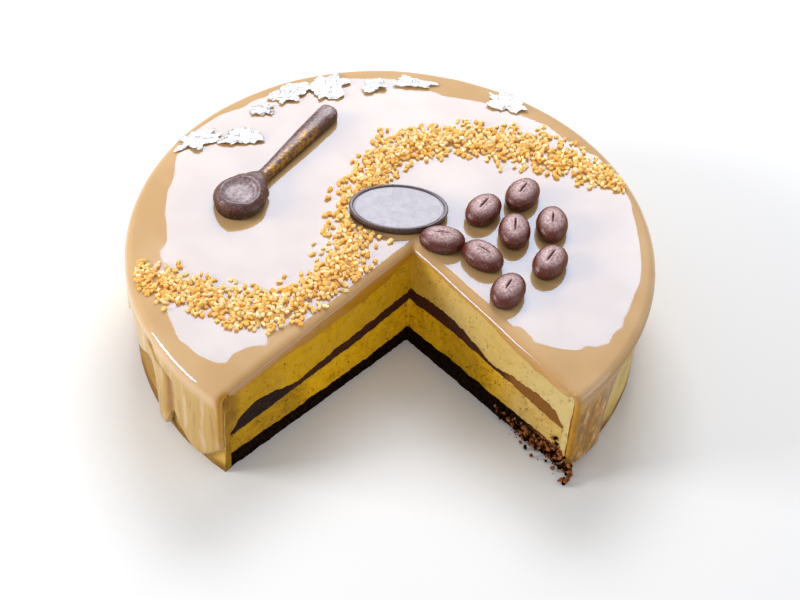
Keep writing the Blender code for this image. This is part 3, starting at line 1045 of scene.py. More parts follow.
def press_cut(places: Array, sweep: Array, depth: Array) -> Array:
    """Moves the vertices of the two cut faces into the cake, and leaves the others.

    Args:
        places: rows of x, y and z.
        sweep: place of each vertex round the cake, from 0 at the right face to 1 at the left one.
        depth: how far each vertex would move.

    Returns:
        The places.
    """
    inward = np.zeros((len(sweep), 2))
    inward[sweep < 1e-6] = heading(START + math.pi / 2)
    inward[sweep > 1 - 1e-6] = heading(END - math.pi / 2)
    moved = places.copy()
    moved[:, :2] += inward * depth[:, None]
    return moved


def pits(places: Array, centres: Array, radii: Array, depths: Array) -> Array:
    """Depth of round pits at points.

    Args:
        places: rows of x, y and z.
        centres: rows of x, y and z of the pits.
        radii: radius of each pit.
        depths: depth of each pit.

    Returns:
        The depth at each point.
    """
    total = np.zeros(len(places))
    for centre, radius, depth in zip(centres, radii, depths):
        offset = places - centre
        near = np.sum(offset * offset, axis=1) / (radius * radius)
        hit = near < 1
        total[hit] = np.maximum(total[hit], depth * (1 - near[hit]) ** 0.7)
    return total


@dataclass
class Layers:
    """The layers that show at the cut, below the glaze."""

    along: int = 280
    around: int = 40
    mousse_rows: int = 40
    plan: Plan = Plan(0.0015, 0.05)

    def build(self) -> list[bpy.types.Object]:
        """Builds the sponge, the cream, the filling and the mousse.

        Returns:
            The pieces.
        """
        inner = (
            ("sponge_layer", HEIGHTS.floor, HEIGHTS.base_top, 20, self._crumbly, SpongeFinish().make(),
             Slot.SPONGE, "base_sponge"),
            ("cream_layer", HEIGHTS.base_top, HEIGHTS.cream_top, 34, self._cracked, CreamFinish().make(),
             Slot.CREAM, "lower_cream"),
            ("filling_layer", HEIGHTS.cream_top, HEIGHTS.filling_top, 14, self._smeared, FillingFinish().make(),
             Slot.FILLING, "chocolate_filling"),
        )
        pieces = []
        for name, under, over, rows, relief, material, slot, node in inner:
            mesh = self._inner_mesh(under, over, rows, relief)
            pieces.append(place_piece(mesh, name, material, (node,)))
        mousse = MousseFinish().make()
        pieces.append(place_piece(self._mousse_mesh(), "mousse_layer", mousse, ("coffee_mousse",)))
        return pieces

    def _inner_mesh(self, under: Callable[[Array], Array], over: Callable[[Array], Array], rows: int,
                    relief: Callable[[Array, Array], tuple[Array, dict[str, Array]]]) -> bpy.types.Mesh:
        """Maps a block between two boundaries.

        Args:
            under: heights of the underside.
            over: heights of the top.
            rows: number of cells from one to the other.
            relief: gives the depth of the cut faces' relief, and the values that the material reads.

        Returns:
            The mesh.
        """
        mesh = cell_block((self.along, self.around, rows))
        u, v, w = places_of(mesh).T
        start, along, _ = self.plan.lines(v)
        far = self.plan.reach(start, along, WALL_RADIUS - RING_WALL - CLEARANCE)
        plan = start + along * (u * far)[:, None]
        low, high = under(plan), over(plan)
        low = low + np.where(low > 0, CLEARANCE / 2, 0.0)
        places = leaned(plan, low + (high - CLEARANCE / 2 - low) * w)
        depth, values = relief(places, np.where(v < 0.5, 0.0, 1.0))
        edge = np.clip(np.minimum(w, 1 - w) * 8.0, 0.25, 1.0)
        places = press_cut(places, v, depth * edge * ease(u * self.along / 3.0))
        return close_mesh(shape_mesh(mesh, places, **values))

    def _crumbly(self, places: Array, side: Array) -> tuple[Array, dict[str, Array]]:
        """Relief of the torn sponge, and where it shows red crumbs.

        Args:
            places: rows of x, y and z.
            side: 0 at the right face and 1 at the left one.

        Returns:
            The depth of the relief at each point, and the values that the material reads.
        """
        rough = 0.0011 * ripple(places, 0.0035, 11.0) + 0.0007 * ripple(places, 0.0016, 12.0)
        rough += 0.0004 * ripple(places, 0.0008, 13.0)
        corner = np.exp(-np.sum((places[:, :2] - np.array((0.0705, -0.0665))) ** 2, axis=1) / 0.008**2)
        return 0.0004 - rough, {"warm": corner * (1 - side)}

    def _cracked(self, places: Array, side: Array) -> tuple[Array, dict[str, Array]]:
        """Relief of the cream, how deep its colour is from painted bounce light and shade, and how brown its painted
        shade is.

        Args:
            places: rows of x, y and z.
            side: 0 at the right face and 1 at the left one.

        Returns:
            The depth of the relief at each point, and the values that the material reads.
        """
        stretched = places * np.array((1.0, 1.0, 1.8))
        rough = 0.00045 * ripple(stretched, 0.0045, 14.0) + 0.00030 * ripple(places, 0.0017, 15.0)
        ridge = 1 - np.abs(ripple(stretched, 0.0075, 16.0)) * 5.0
        crack = 0.0009 * np.clip(ridge, 0.0, 1.0) * ease(ripple(places, 0.010, 17.0) * 3.0)
        holes = self._holes(places, 60, 0.0011, 0.0010, 21)
        far = np.linalg.norm(places[:, :2] - TIP, axis=1)
        # deep and brown are painted: gold on the left face and near the tip as golden bounce light and shade, pale
        # where the right face is lit, and brown painted shade on the right face and at the left face's outer end
        deep = np.where(side > 0.5, 1.0, 1.0 - 0.9 * ease((far - 0.050) / 0.025))
        brown = 0.6 * side * ease((far - 0.060) / 0.014)
        brown += (1 - side) * (0.10 + 0.45 * bell(far, 0.043, 0.017))
        return 0.0002 + rough + crack + holes, {"deep": deep, "brown": brown}

    def _smeared(self, places: Array, side: Array) -> tuple[Array, dict[str, Array]]:
        """Relief of the filling, where it turns lighter and milky, and where painted shade darkens it.

        Args:
            places: rows of x, y and z.
            side: 0 at the right face and 1 at the left one.

        Returns:
            The depth of the relief at each point, and the values that the material reads.
        """
        rough = 0.0004 * ripple(places, 0.0050, 18.0) + 0.0004 * ripple(places, 0.0017, 19.0)
        far = np.linalg.norm(places[:, :2] - TIP, axis=1)
        # The second value is painted shade at the outer end of the left face
        return rough, {"milky": ease((far - 0.060) / 0.007) * (1 - side), "painted_end_shade": ease((far - 0.070) / 0.008) * side}

    def _holes(self, places: Array, count: int, radius: float, depth: float, seed: int) -> Array:
        """Depth of pits scattered over the two faces.

        Args:
            places: rows of x, y and z.
            count: number of pits on each face.
            radius: their usual radius.
            depth: their usual depth.
            seed: number that picks them.

        Returns:
            The depth at each point.
        """
        rng = random.Random(seed)
        centres, radii, depths = [], [], []
        for face in (START, END):
            for _ in range(count):
                far, height = rng.uniform(0.004, 0.104), rng.uniform(0.008, 0.045)
                plan = (TIP + far * heading(face))[None, :]
                centres.append(leaned(plan, np.array([height]))[0])
                radii.append(radius * rng.uniform(0.45, 1.3))
                depths.append(depth * rng.uniform(0.5, 1.2))
        return pits(places, np.array(centres), np.array(radii), np.array(depths))

    def _mousse_mesh(self) -> bpy.types.Mesh:
        """Maps a block to the mousse: a cap over the filling that turns down into the ring at the wall.

        Returns:
            The mesh.
        """
        cap, corner = 0.80, 0.86
        mesh = cell_block((self.along + 30, self.around + 44, self.mousse_rows))
        u, v, w = places_of(mesh).T
        start, along, _ = self.plan.lines(v)
        wall = self.plan.reach(start, along, WALL_RADIUS)
        ring = self.plan.reach(start, along, WALL_RADIUS - RING_WALL)
        top = CAKE_HEIGHT - GLAZE_THICKNESS
        flat = np.clip(u / cap, 0.0, 1.0)
        turn = np.clip((u - cap) / (corner - cap), 0.0, 1.0)
        down = np.clip((u - corner) / (1 - corner), 0.0, 1.0)
        inside = ring * flat
        seat = HEIGHTS.filling_top(start + along * inside[:, None]) + CLEARANCE / 2
        low = (seat - 0.0008 * turn) * (1 - down)
        quarter = turn * math.pi / 2
        outside = (wall - SHOULDER) * flat + SHOULDER * np.sin(quarter)
        high = (top - SHOULDER + SHOULDER * np.cos(quarter)) * (1 - down)
        far = inside + (outside - inside) * w
        height = low + (high - low) * w
        plan = start + along * far[:, None]
        places = leaned(plan, height)
        outer = ease((w - 0.7) / 0.3) * ease((u - corner) / 0.02)
        bumpy = 0.00035 * ripple(places, 0.006, 25.0) + 0.0002 * ripple(places, 0.002, 26.0) - 0.0003
        radial = plan / np.linalg.norm(plan, axis=1)[:, None]
        places[:, :2] += radial * (outer * bumpy)[:, None]
        side = np.where(v < 0.5, 0.0, 1.0)
        rough = 0.00022 * ripple(places, 0.0040, 22.0) + 0.00012 * ripple(places, 0.0015, 23.0)
        depth = 0.0001 + rough + self._holes(places, 110, 0.0007, 0.0007, 24)
        edge = np.clip(np.minimum(w, 1 - w) * 10.0, 0.2, 1.0) * ease(u * self.along / 3.0)
        places = press_cut(places, v, depth * edge)
        far_out = np.linalg.norm(plan - TIP, axis=1)
        # deep paints light: deeper gold near the tip, on the left face and low on the wall, as painted shade and
        # golden bounce light, and pale where the right face and the wall at sunny are painted lit
        near_tip = 0.80 * bell(far_out, 0.0, 0.026) + 0.30 * bell(far_out, 0.055, 0.020)
        deep = np.clip(0.05 + 0.93 * side + near_tip * (1 - side), 0.0, 1.0)
        degrees = np.degrees(np.arctan2(plan[:, 1], plan[:, 0])) % 360.0
        low = ease((0.022 - height) / 0.010)
        sunny = bell(degrees, 338.0, 14.0)
        deep += ((0.20 + 0.40 * low) * (1 - 0.7 * sunny) - deep) * outer
        # brown: painted shade on the shadowed left wall, near the floor (partly real glaze and crumbs at the foot), in
        # painted reflection streaks on the lit right wall, and at the outer end of the left face
        brown = 0.80 * bell(degrees, 203.0, 15.0) * ease((0.034 - height) / 0.012)
        brown += 0.85 * ease((0.008 - height) / 0.006)
        brown += 0.25 * sunny * ease(3.0 * ripple(places * np.array((1.0, 1.0, 0.35)), 0.0035, 27.0))
        painted_outer_shade = 0.25 * ease((far_out - 0.072) / 0.015) + 0.50 * ease((far_out - 0.100) / 0.006)
        brown = brown * outer + painted_outer_shade * side * (1 - outer)
        return close_mesh(shape_mesh(mesh, places, deep=deep, brown=np.clip(brown, 0.0, 1.0)))


@dataclass(frozen=True)
class TopSurface:
    """How the poured glaze rounds off towards the rim and the cut, and its gentle waves.

    Attributes:
        rim_widths: angle about the origin in degrees, and width of the sunk edge there.
        right_widths: distance from the tip along the right face, and width of the sunk edge there.
        left_widths: the same along the left face.
        slope: steepest slope of the sunk edge.
    """

    rim_widths: tuple[tuple[float, float], ...] = (
        (-46, 0.026), (-38, 0.024), (-32, 0.018), (-24, 0.014), (-16, 0.010), (-8, 0.008), (8, 0.008), (18, 0.007),
        (26, 0.010), (56, 0.013), (70, 0.016), (82, 0.016), (92, 0.009), (120, 0.007), (132, 0.009), (146, 0.007),
        (158, 0.012), (166, 0.018), (186, 0.021), (200, 0.019), (216, 0.013), (226, 0.012), (236, 0.015),
    )
    right_widths: tuple[tuple[float, float], ...] = (
        (0.0, 0.006), (0.030, 0.008), (0.060, 0.009), (0.078, 0.012), (0.090, 0.020), (0.105, 0.024))
    left_widths: tuple[tuple[float, float], ...] = ((0.0, 0.006), (0.030, 0.010), (0.070, 0.012), (0.110, 0.012))
    slope: float = 0.095

    def drop(self, plan: Array) -> Array:
        """How far the top has sunk below its full height.

        Args:
            plan: rows of x and y.

        Returns:
            The drop at each point.
        """
        degrees = (np.degrees(np.arctan2(plan[:, 1], plan[:, 0])) + 50.0) % 360.0 - 50.0
        angles, widths = zip(*self.rim_widths)
        wobble = 1 + 0.16 * ripple(plan, 0.011, 43.0)
        rim = WALL_RADIUS + CLEARANCE + RIM_BULGE + SKIN
        total = self._edge(rim - np.linalg.norm(plan, axis=1), np.interp(degrees, angles, widths) * wobble)
        for face, table in ((START, self.right_widths), (END, self.left_widths)):
            offset = plan - TIP
            far = np.clip(offset @ heading(face), 0.0, 0.2)
            gap = np.linalg.norm(offset - far[:, None] * heading(face), axis=1)
            total = total + self._edge(gap, np.interp(far, *zip(*table)) * wobble)
        return total

    def _edge(self, gap: Array, width: Array) -> Array:
        """Drop at a distance from an edge whose sunk strip has a width."""
        return self.slope * width / 1.5 * np.clip(1 - gap / width, 0.0, 1.0) ** 1.5

    def waves(self, plan: Array) -> Array:
        """Gentle waves over the whole top."""
        return 0.00007 * ripple(plan, 0.026, 41.0) + 0.000025 * ripple(plan, 0.011, 42.0)

    def height(self, point: Vector) -> float:
        """Height of the glaze at one point in plan."""
        plan = np.array(((point.x, point.y),))
        return CAKE_HEIGHT - float(self.drop(plan)[0])


TOP = TopSurface()


@dataclass
class Glaze:
    """The glaze: a sheet over the top, a rounded rim and a skirt with runs down the wall."""

    along: int = 132
    around: int = 284
    through: int = 5
    top_share: float = 0.62
    rim_share: float = 0.72
    lip: float = 0.0021
    wall_lip: float = 0.0013
    overhang: float = 0.0008
    right_hang: tuple[tuple[float, float], ...] = (
        (0.0, 0.0445), (0.020, 0.0450), (0.050, 0.0448), (0.058, 0.0425), (0.075, 0.0418), (0.086, 0.0425),
        (0.094, 0.0440), (0.105, 0.0445))
    left_hang: tuple[tuple[float, float], ...] = (
        (0.0, 0.0445), (0.015, 0.0405), (0.030, 0.0395), (0.060, 0.0405), (0.075, 0.0425), (0.100, 0.0437))
    plan: Plan = Plan(0.0032, 0.055, ((0.0, 0.0), (0.22, 0.15), (0.68, 0.82), (1.0, 1.0)))

    def build(self) -> bpy.types.Object:
        """Builds the glaze.

        Returns:
            The piece.
        """
        mesh = cell_block((self.along, self.around, self.through))
        u, v, w = places_of(mesh).T
        start, along, beside = self.plan.lines(v)
        inner_wall = WALL_RADIUS + CLEARANCE
        rim_wall = inner_wall + RIM_BULGE + SKIN - 0.00003
        on_wall = start + along * self.plan.reach(start, along, WALL_RADIUS)[:, None]
        degrees = np.degrees(np.arctan2(on_wall[:, 1], on_wall[:, 0]))
        hem, thicker = self._hem(degrees)
        flat = np.clip(u / self.top_share, 0.0, 1.0)
        quarter = np.clip((u - self.top_share) / (self.rim_share - self.top_share), 0.0, 1.0) * math.pi / 2
        down = np.clip((u - self.rim_share) / (1 - self.rim_share), 0.0, 1.0)
        under = CAKE_HEIGHT - GLAZE_THICKNESS + CLEARANCE
        inner_far = (self.plan.reach(start, along, inner_wall) - SHOULDER) * flat + SHOULDER * np.sin(quarter)
        inner_high = under - SHOULDER + SHOULDER * np.cos(quarter)
        inner_high = inner_high + (hem - inner_high) * down
        outside = inner_wall + SKIN + thicker
        radius = rim_wall + (outside - rim_wall) * ease(down)
        outer_far = (self.plan.reach(start, along, rim_wall) - RIM_ROUND) * flat + RIM_ROUND * np.sin(quarter)
        outer_far = np.where(down > 0, self.plan.reach(start, along, radius), outer_far)
        outer_plan = start + along * outer_far[:, None]
        outer_high = CAKE_HEIGHT - RIM_ROUND + RIM_ROUND * np.cos(quarter)
        outer_high -= TOP.drop(outer_plan) + TOP.waves(outer_plan) * (1 - down)
        foot = hem - 0.0004
        outer_high = outer_high + (foot - outer_high) * down
        full = np.minimum(rounding(beside, self.lip, 0.22), 1.0)
        full = np.where(u > self.rim_share, rounding(beside, self.wall_lip, 0.30), full)
        full *= np.where(down > 0, rounding(outer_high - foot, 0.0014, 0.12), 1.0)
        inner = np.column_stack((start + along * inner_far[:, None], inner_high))
        outer = np.column_stack((outer_plan, outer_high))
        places = inner + (outer - inner) * (w * full)[:, None]
        groove, dent = self._grooves(degrees, outer_high)
        radial = places[:, :2] / np.linalg.norm(places[:, :2], axis=1)[:, None]
        places[:, :2] -= radial * (dent * w * ease(down * 4.0))[:, None]
        places = self._drape(places, start + along * inner_far[:, None], v, beside, w,
                             1 - ease((flat - 0.955) / 0.045))
        lip = ease(1.15 - (beside / self.plan.strip) ** (2 / 3)) * np.where(beside < 0.0031, 1.0, 0.0)
        lip *= (1 - 0.5 * down) * np.where(v < 0.5, 0.75, 1.0)
        # The first value is painted shade in the grooves on the wall
        gully, wall = groove * ease(down * 4.0), ease(down * 6.0)
        panel = ease((-31.5 - degrees) / 2.5) * (degrees > -60.0) * ease(down * 5.0)
        # deep: painted shade on the right part of the rim
        deep = 0.9 * bell(degrees, -26.0, 30.0) * ease((quarter - 0.7) / 0.6)
        mesh = close_mesh(shape_mesh(mesh, places, lip=lip, gully=gully, wall=wall, panel=panel, deep=deep))
        return place_piece(mesh, "glaze_coat", GlazeFinish().make(), ("glaze",))

    def _hem(self, degrees: Array) -> tuple[Array, Array]:
        """Height of the lower edge of the glaze, and its extra thickness.

        Args:
            degrees: angles about the origin.

        Returns:
            The heights and the extra thicknesses.
        """
        around = heading(np.radians(degrees)) * 2.4
        hem = HEM + HEM_WAVE * ripple(around, 1.0, 5.0)
        thicker = np.zeros(len(degrees))
        for centre, width, length, swell in RUNS:
            near = bell((degrees - centre + 180.0) % 360.0 - 180.0, 0.0, width)
            hem -= length * near
            thicker += swell * near
        foot = HEM_FLOOR - 0.0018 * (bell(degrees % 360.0, 233.0, 6.0) + bell(degrees % 360.0, 316.0, 4.0))
        return np.clip(hem, foot, HEM_CEILING), thicker

    @staticmethod
    def _grooves(degrees: Array, heights: Array) -> tuple[Array, Array]:
        """The grooves in the glaze on the wall.

        Args:
            degrees: angles about the origin.
            heights: heights on the wall.

        Returns:
            How near each point is to the middle of a groove, from 0 to 1, and its depth there.
        """
        total, dent = np.zeros(len(degrees)), np.zeros(len(degrees))
        for centre, turn, width, depth in GROOVES:
            middle = centre + turn * ease((heights - 0.0335) / 0.0055)
            near = bell((degrees - middle + 180.0) % 360.0 - 180.0, 0.0, width)
            near = near * ease((heights - 0.008) / 0.006)
            total, dent = np.maximum(total, near), dent + depth * near
        return total, dent

    def _drape(self, places: Array, under: Array, sweep: Array, beside: Array, w: Array, share: Array) -> Array:
        """Rounds the edge of the top sheet over the cut, and lets it hang down the face.

        Args:
            places: places of the glaze with its edge at the cut.
            under: plan of the sheet's underside.
            sweep: place of each vertex round the cake.
            beside: distance from the nearer cut face.
            w: share of the thickness, from 0 on the underside to 1 on the outside.
            share: how much of the drape there is.

        Returns:
            The places.
        """
        step = (np.clip(beside / self.plan.strip, 0.0, 1.0)) ** (2 / 3)
        right = (sweep < 0.5)[:, None]
        along = np.where(right, heading(START), heading(END))
        inward = np.where(right, heading(START + math.pi / 2), heading(END - math.pi / 2))
        far = np.clip(np.sum((under - TIP) * along, axis=1), 0.0, 0.2)
        hang = np.where(right[:, 0], np.interp(far, *zip(*self.right_hang)), np.interp(far, *zip(*self.left_hang)))
        hang = hang + 0.0006 * ripple(under, 0.0055, 44.0) + 0.0004 * ripple(under, 0.0021, 45.0)
        over = self.overhang * (1 + 0.4 * ripple(under, 0.0180, 46.0))
        turn, drop = np.clip((1 - step) / 0.55, 0.0, 1.0), np.clip((0.45 - step) / 0.45, 0.0, 1.0)
        quarter = turn * math.pi / 2
        top, low = places[:, 2], CAKE_HEIGHT - GLAZE_THICKNESS + CLEARANCE
        crown = CAKE_HEIGHT - TOP.drop(places[:, :2]) - TOP.waves(places[:, :2])
        outer_x = -self.plan.strip + (self.plan.strip + over) * np.sin(quarter)
        outer_z = crown - 0.0024 * (1 - np.cos(quarter))
        outer_x = outer_x + (0.0002 - outer_x) * np.where(drop > 0, 1 - np.sqrt(1 - (0.98 * drop) ** 4), 0.0)
        outer_z = outer_z + (hang - outer_z) * drop
        inner_x = -self.plan.strip + (self.plan.strip + 0.0001) * turn
        inner_z = low + (hang - low) * drop
        x, z = inner_x + (outer_x - inner_x) * w, inner_z + (outer_z - inner_z) * w
        inside = np.sum((places[:, :2] - TIP) * inward, axis=1)
        mix = share * np.where(beside < self.plan.strip * 0.999, 1.0, 0.0)
        moved = places.copy()
        moved[:, :2] += (along / math.tan(HALF) + inward) * ((-x - inside) * mix)[:, None]
        moved[:, 2] = top + (z - top) * mix
        tilt = leaned(under, moved[:, 2])[:, 1] - under[:, 1]
        moved[:, 1] += tilt * mix * np.clip(turn * 1.2, 0.0, 1.0)
        return moved


@dataclass(frozen=True)
class Lump:
    """The pattern of a small lump: its corners, and the corners of each of its faces."""

    corners: Array
    faces: tuple[tuple[int, ...], ...]

    @staticmethod
    def of(bm: bmesh.types.BMesh) -> "Lump":
        """Reads the pattern of a lump, and frees the lump.

        Args:
            bm: the lump as a bmesh.

        Returns:
            The pattern.
        """
        bm.verts.index_update()
        corners = np.array([vert.co for vert in bm.verts])
        faces = tuple(tuple(vert.index for vert in face.verts) for face in bm.faces)
        bm.free()
        return Lump(corners, faces)


class Heap:
    """Many lumps in one mesh, each with a number of its own for a material to read."""

    def __init__(self) -> None:
        """Starts an empty heap."""
        self.corners: list[Array] = []
        self.faces: list[tuple[int, ...]] = []
        self.numbers: list[float] = []

    def add(self, lump: Lump, matrix: Matrix, number: float) -> None:
        """Adds a lump at a place.

        Args:
            lump: its pattern.
            matrix: its place, turn and scale.
            number: its number.
        """
        first = len(self.numbers)
        turn = np.array(matrix.to_3x3())
        self.corners.append(lump.corners @ turn.T + np.array(matrix.translation))
        self.faces.extend(tuple(first + index for index in face) for face in lump.faces)
        self.numbers.extend([number] * len(lump.corners))

    def mesh(self, value: str) -> bpy.types.Mesh:
        """Makes one mesh of all the lumps.

        Args:
            value: name of the numbers.

        Returns:
            The mesh.
        """
        corners = np.vstack(self.corners)
        made = bpy.data.meshes.new("heap")
        made.from_pydata(corners.tolist(), [], self.faces)
        return shape_mesh(made, corners, **{value: np.array(self.numbers)})


def inside_oval(point: Vector, centre: Vector, length: float, width: float, turn: float) -> bool:
    """Whether a point in plan lies in a turned oval."""
    local = Matrix.Rotation(-math.radians(turn), 2) @ (point - centre)
    return (2 * local.x / length) ** 2 + (2 * local.y / width) ** 2 < 1.0


def line_gap(point: Vector, start: Vector, end: Vector) -> float:
    """Measures the distance in plan from a point to a straight line.

    Args:
        point: the point.
        start: one end of the line.
        end: its other end.

    Returns:
        The distance.
    """
    along = end - start
    share = max(0.0, min(1.0, (point - start).dot(along) / along.length_squared))
    return (point - start - share * along).length


@dataclass
class Crisps:
    """The line of gold crisps over the glaze, thick in its middle, with strays beside it.

    Attributes:
        count: number of crisps.
        size: their usual size.
        spacing: least distance between two of them.
        margin: room from the middle of each to the edges and the other decorations.
        stack: how far one that lies on others is lifted.
        spread: how far they scatter, as a share of the half width of the line.
        reach: the furthest that a stray lies, as such a share.
        clump: size of the clumps and the gaps between them.
        patterns: number of their patterns.
        seed: number that picks them.
    """

    count: int = 1500
    size: float = 0.0020
    spacing: float = 0.00135
    margin: float = 0.0011
    stack: float = 0.0011
    spread: float = 0.50
    reach: float = 1.55
    clump: float = 0.005
    patterns: int = 24
    seed: int = 11

    def build(self) -> bpy.types.Object:
        """Builds all the crisps as one piece.

        Returns:
            The piece.
        """
        rng = random.Random(self.seed)
        patterns = [self._chip(rng) for _ in range(self.patterns)]
        heap = Heap()
        for point, lift in self._places(rng):
            size = self.size * Vector((rng.uniform(0.75, 1.35), rng.uniform(0.50, 0.95), rng.uniform(0.35, 0.65)))
            turn = Euler((rng.uniform(-0.5, 0.5), rng.uniform(-0.5, 0.5), rng.uniform(0.0, 2 * math.pi)))
            height = TOP.height(point) + size.z * 0.60 + lift
            matrix = Matrix.LocRotScale(Vector((*point, height)), turn, size)
            # Random tone, plus painted light on the crisps that lie on others
            heap.add(rng.choice(patterns), matrix, rng.random() * 0.8 + lift * 150.0)
        return place_piece(heap.mesh("shade"), "gold_crisps", CrispFinish().make(), ("glaze",),
                           smooth=False)

    def _on_path(self, share: float) -> Vector:
        """Finds a point of the line, through a smooth spline.

        Args:
            share: share of the line's length.

        Returns:
            The point's x and y, and the half width.
        """
        position = share * (len(CRISP_PATH) - 1)
        last = len(CRISP_PATH) - 1
        k = min(int(position), last - 1)
        t = position - k
        p0, p1, p2, p3 = (Vector(CRISP_PATH[min(max(i, 0), last)]) for i in (k - 1, k, k + 1, k + 2))
        curve = 2 * p1 + (p2 - p0) * t + (2 * p0 - 5 * p1 + 4 * p2 - p3) * t * t
        return (curve + (3 * p1 - p0 - 3 * p2 + p3) * t * t * t) / 2

    def _is_clear(self, point: Vector) -> bool:
        """Tells whether a crisp is on the glaze and clear of the other decorations.

        Args:
            point: its place in plan.

        Returns:
            Whether it is.
        """
        room = 2 * self.margin
        for degrees in (RIGHT_CORNER, LEFT_CORNER):
            corner = Vector(RIM_RADIUS * heading(math.radians(degrees)))
            if line_gap(point, Vector(TIP), corner) < room:
                return False
        if point.length > RIM_RADIUS - RIM_ROUND - self.margin:
            return False
        if inside_oval(point, PLAQUE_CENTRE, PLAQUE_LENGTH + room, PLAQUE_WIDTH + room, PLAQUE_TURN):
            return False
        if line_gap(point, SPOON_START, SPOON_END) < SPOON_BOWL_WIDTH / 2 + self.margin:
            return False
        return not any(inside_oval(point, Vector((x, y)), BEAN_LENGTH + room, BEAN_WIDTH + room, turn)
                       for x, y, turn in BEANS)

    def _places(self, rng: random.Random) -> list[tuple[Vector, float]]:
        """Places in plan of the crisps, and how far each is lifted by those below it.

        Args:
            rng: the random numbers.

        Returns:
            Pairs of a point and a lift.
        """
        found: list[tuple[Vector, float]] = []
        near: dict[tuple[int, int], list[tuple[Vector, float]]] = {}
        for _ in range(self.count * 20):
            if len(found) >= self.count:
                break
            x, y, half_width = self._on_path(rng.random())
            beside = Vector((rng.gauss(0.0, self.spread), rng.gauss(0.0, self.spread))) * half_width
            point = Vector((x, y)) + beside
            if beside.length > self.reach * half_width or not self._is_clear(point):
                continue
            if noise.noise(Vector((*(point / self.clump), 4.0))) < rng.uniform(-0.70, 0.22):
                continue
            i, j = int(point.x // self.spacing), int(point.y // self.spacing)
            around = [pair for a in (-1, 0, 1) for b in (-1, 0, 1) for pair in near.get((i + a, j + b), [])]
            close = [lift for other, lift in around if (point - other).length < self.spacing]
            lift = self.stack if close else 0.0
            if close and (max(close) > 0.0 or beside.length > 0.6 * half_width or rng.random() < 0.5):
                continue
            found.append((point, lift))
            near.setdefault((i, j), []).append((point, lift))
        return found

    @staticmethod
    def _chip(rng: random.Random) -> Lump:
        """Makes the pattern of a crisp, a small uneven chip with worn edges.

        Args:
            rng: the random numbers.

        Returns:
            The pattern.
        """
        bm = bmesh.new()
        bmesh.ops.create_cube(bm, size=1.0)
        bmesh.ops.bevel(bm, geom=bm.edges[:], offset=0.14, segments=1, profile=0.5, affect="EDGES", material=-1)
        for vert in bm.verts:
            vert.co += Vector([rng.uniform(-0.09, 0.09) for _ in range(3)])
        bmesh.ops.recalc_face_normals(bm, faces=bm.faces)
        return Lump.of(bm)


def ball(around: int, along: int) -> bpy.types.Mesh:
    """Makes a unit ball whose poles lie along X.

    Args:
        around: number of faces round it.
        along: number along X.

    Returns:
        The mesh.
    """
    bm = bmesh.new()
    lie_down = Matrix.Rotation(math.radians(90), 4, "Y")
    bmesh.ops.create_uvsphere(bm, u_segments=around, v_segments=along, radius=1.0, matrix=lie_down)
    bmesh.ops.recalc_face_normals(bm, faces=bm.faces)
    return mesh_of(bm)


def set_down(places: Array, degrees: float, x: float, y: float) -> Array:
    """Turns points about Z and sets them down on the top of the cake.

    Args:
        places: rows of x, y and z.
        degrees: the turn.
        x: place of their origin along X.
        y: place of their origin along Y.

    Returns:
        The new places.
    """
    angle = math.radians(degrees)
    spin = np.array(((math.cos(angle), -math.sin(angle)), (math.sin(angle), math.cos(angle))))
    plan = places[:, :2] @ spin.T + np.array((x, y))
    return np.column_stack((plan, places[:, 2] + (CAKE_HEIGHT + CLEARANCE - places[:, 2].min())))


@dataclass
class Crumbs:
    """Loose crumbs of the sponge at the foot of the right face, on it and before it.

    Attributes:
        on_face: number of crumbs on the face.
        on_floor: number on the floor before it.
        size: their usual size.
        mound: distance from the tip, height and half width of the mound near the corner.
        low: height that they reach beside the mound.
        clear: height of a crumb's middle above the floor, as a share of its size.
        patterns: number of their patterns.
        seed: number that picks them.
    """

    on_face: int = 380
    on_floor: int = 60
    size: float = 0.0012
    mound: tuple[float, float, float] = (0.0925, 0.0085, 0.004)
    low: float = 0.0085
    clear: float = 0.76
    patterns: int = 12
    seed: int = 3

    def build(self) -> bpy.types.Object:
        """Builds all the crumbs as one piece.

        Returns:
            The piece.
        """
        rng = random.Random(self.seed)
        patterns = [self._crumb(rng) for _ in range(self.patterns)]
        peak, rise, width = self.mound
        heap = Heap()
        out = Vector(heading(START - math.pi / 2))
        for number in range(self.on_face + self.on_floor):
            size = self.size * (0.35 + 1.9 * rng.random() ** 3)
            if number < self.on_face:
                far = 0.104 - 0.046 * rng.random() ** 1.5
                top = self.low + rise * math.exp(-(((far - peak) / width) ** 2))
                height = size * self.clear + (top - size) * rng.random() ** 1.2
                beside = size * rng.uniform(-0.1, 0.5)
            else:
                far, height = 0.105 - 0.036 * rng.random() ** 1.6, size * self.clear
                beside = 0.0004 + 0.0045 * rng.random() ** 2
            plan = np.array((Vector(TIP) + far * Vector(heading(START)),))
            place = Vector(leaned(plan, np.array((height,)))[0])
            place += Vector((*(out * beside), 0.0))
            turn = Euler([rng.uniform(0.0, math.pi) for _ in range(3)])
            scale = Vector([size / 2 * rng.uniform(0.7, 1.2) for _ in range(3)])
            heap.add(rng.choice(patterns), Matrix.LocRotScale(place, turn, scale), float(rng.random() < 0.5))
        return place_piece(heap.mesh("warm"), "loose_crumbs", SpongeFinish().make(), (), smooth=False)

    @staticmethod
    def _crumb(rng: random.Random) -> Lump:
        """Makes the pattern of a crumb, an uneven lump of a few faces.

        Args:
            rng: the random numbers.

        Returns:
            The pattern.
        """
        bm = bmesh.new()
        bmesh.ops.create_icosphere(bm, subdivisions=1, radius=1.0)
        for vert in bm.verts:
            vert.co *= rng.uniform(0.7, 1.25)
        bmesh.ops.recalc_face_normals(bm, faces=bm.faces)
        return Lump.of(bm)


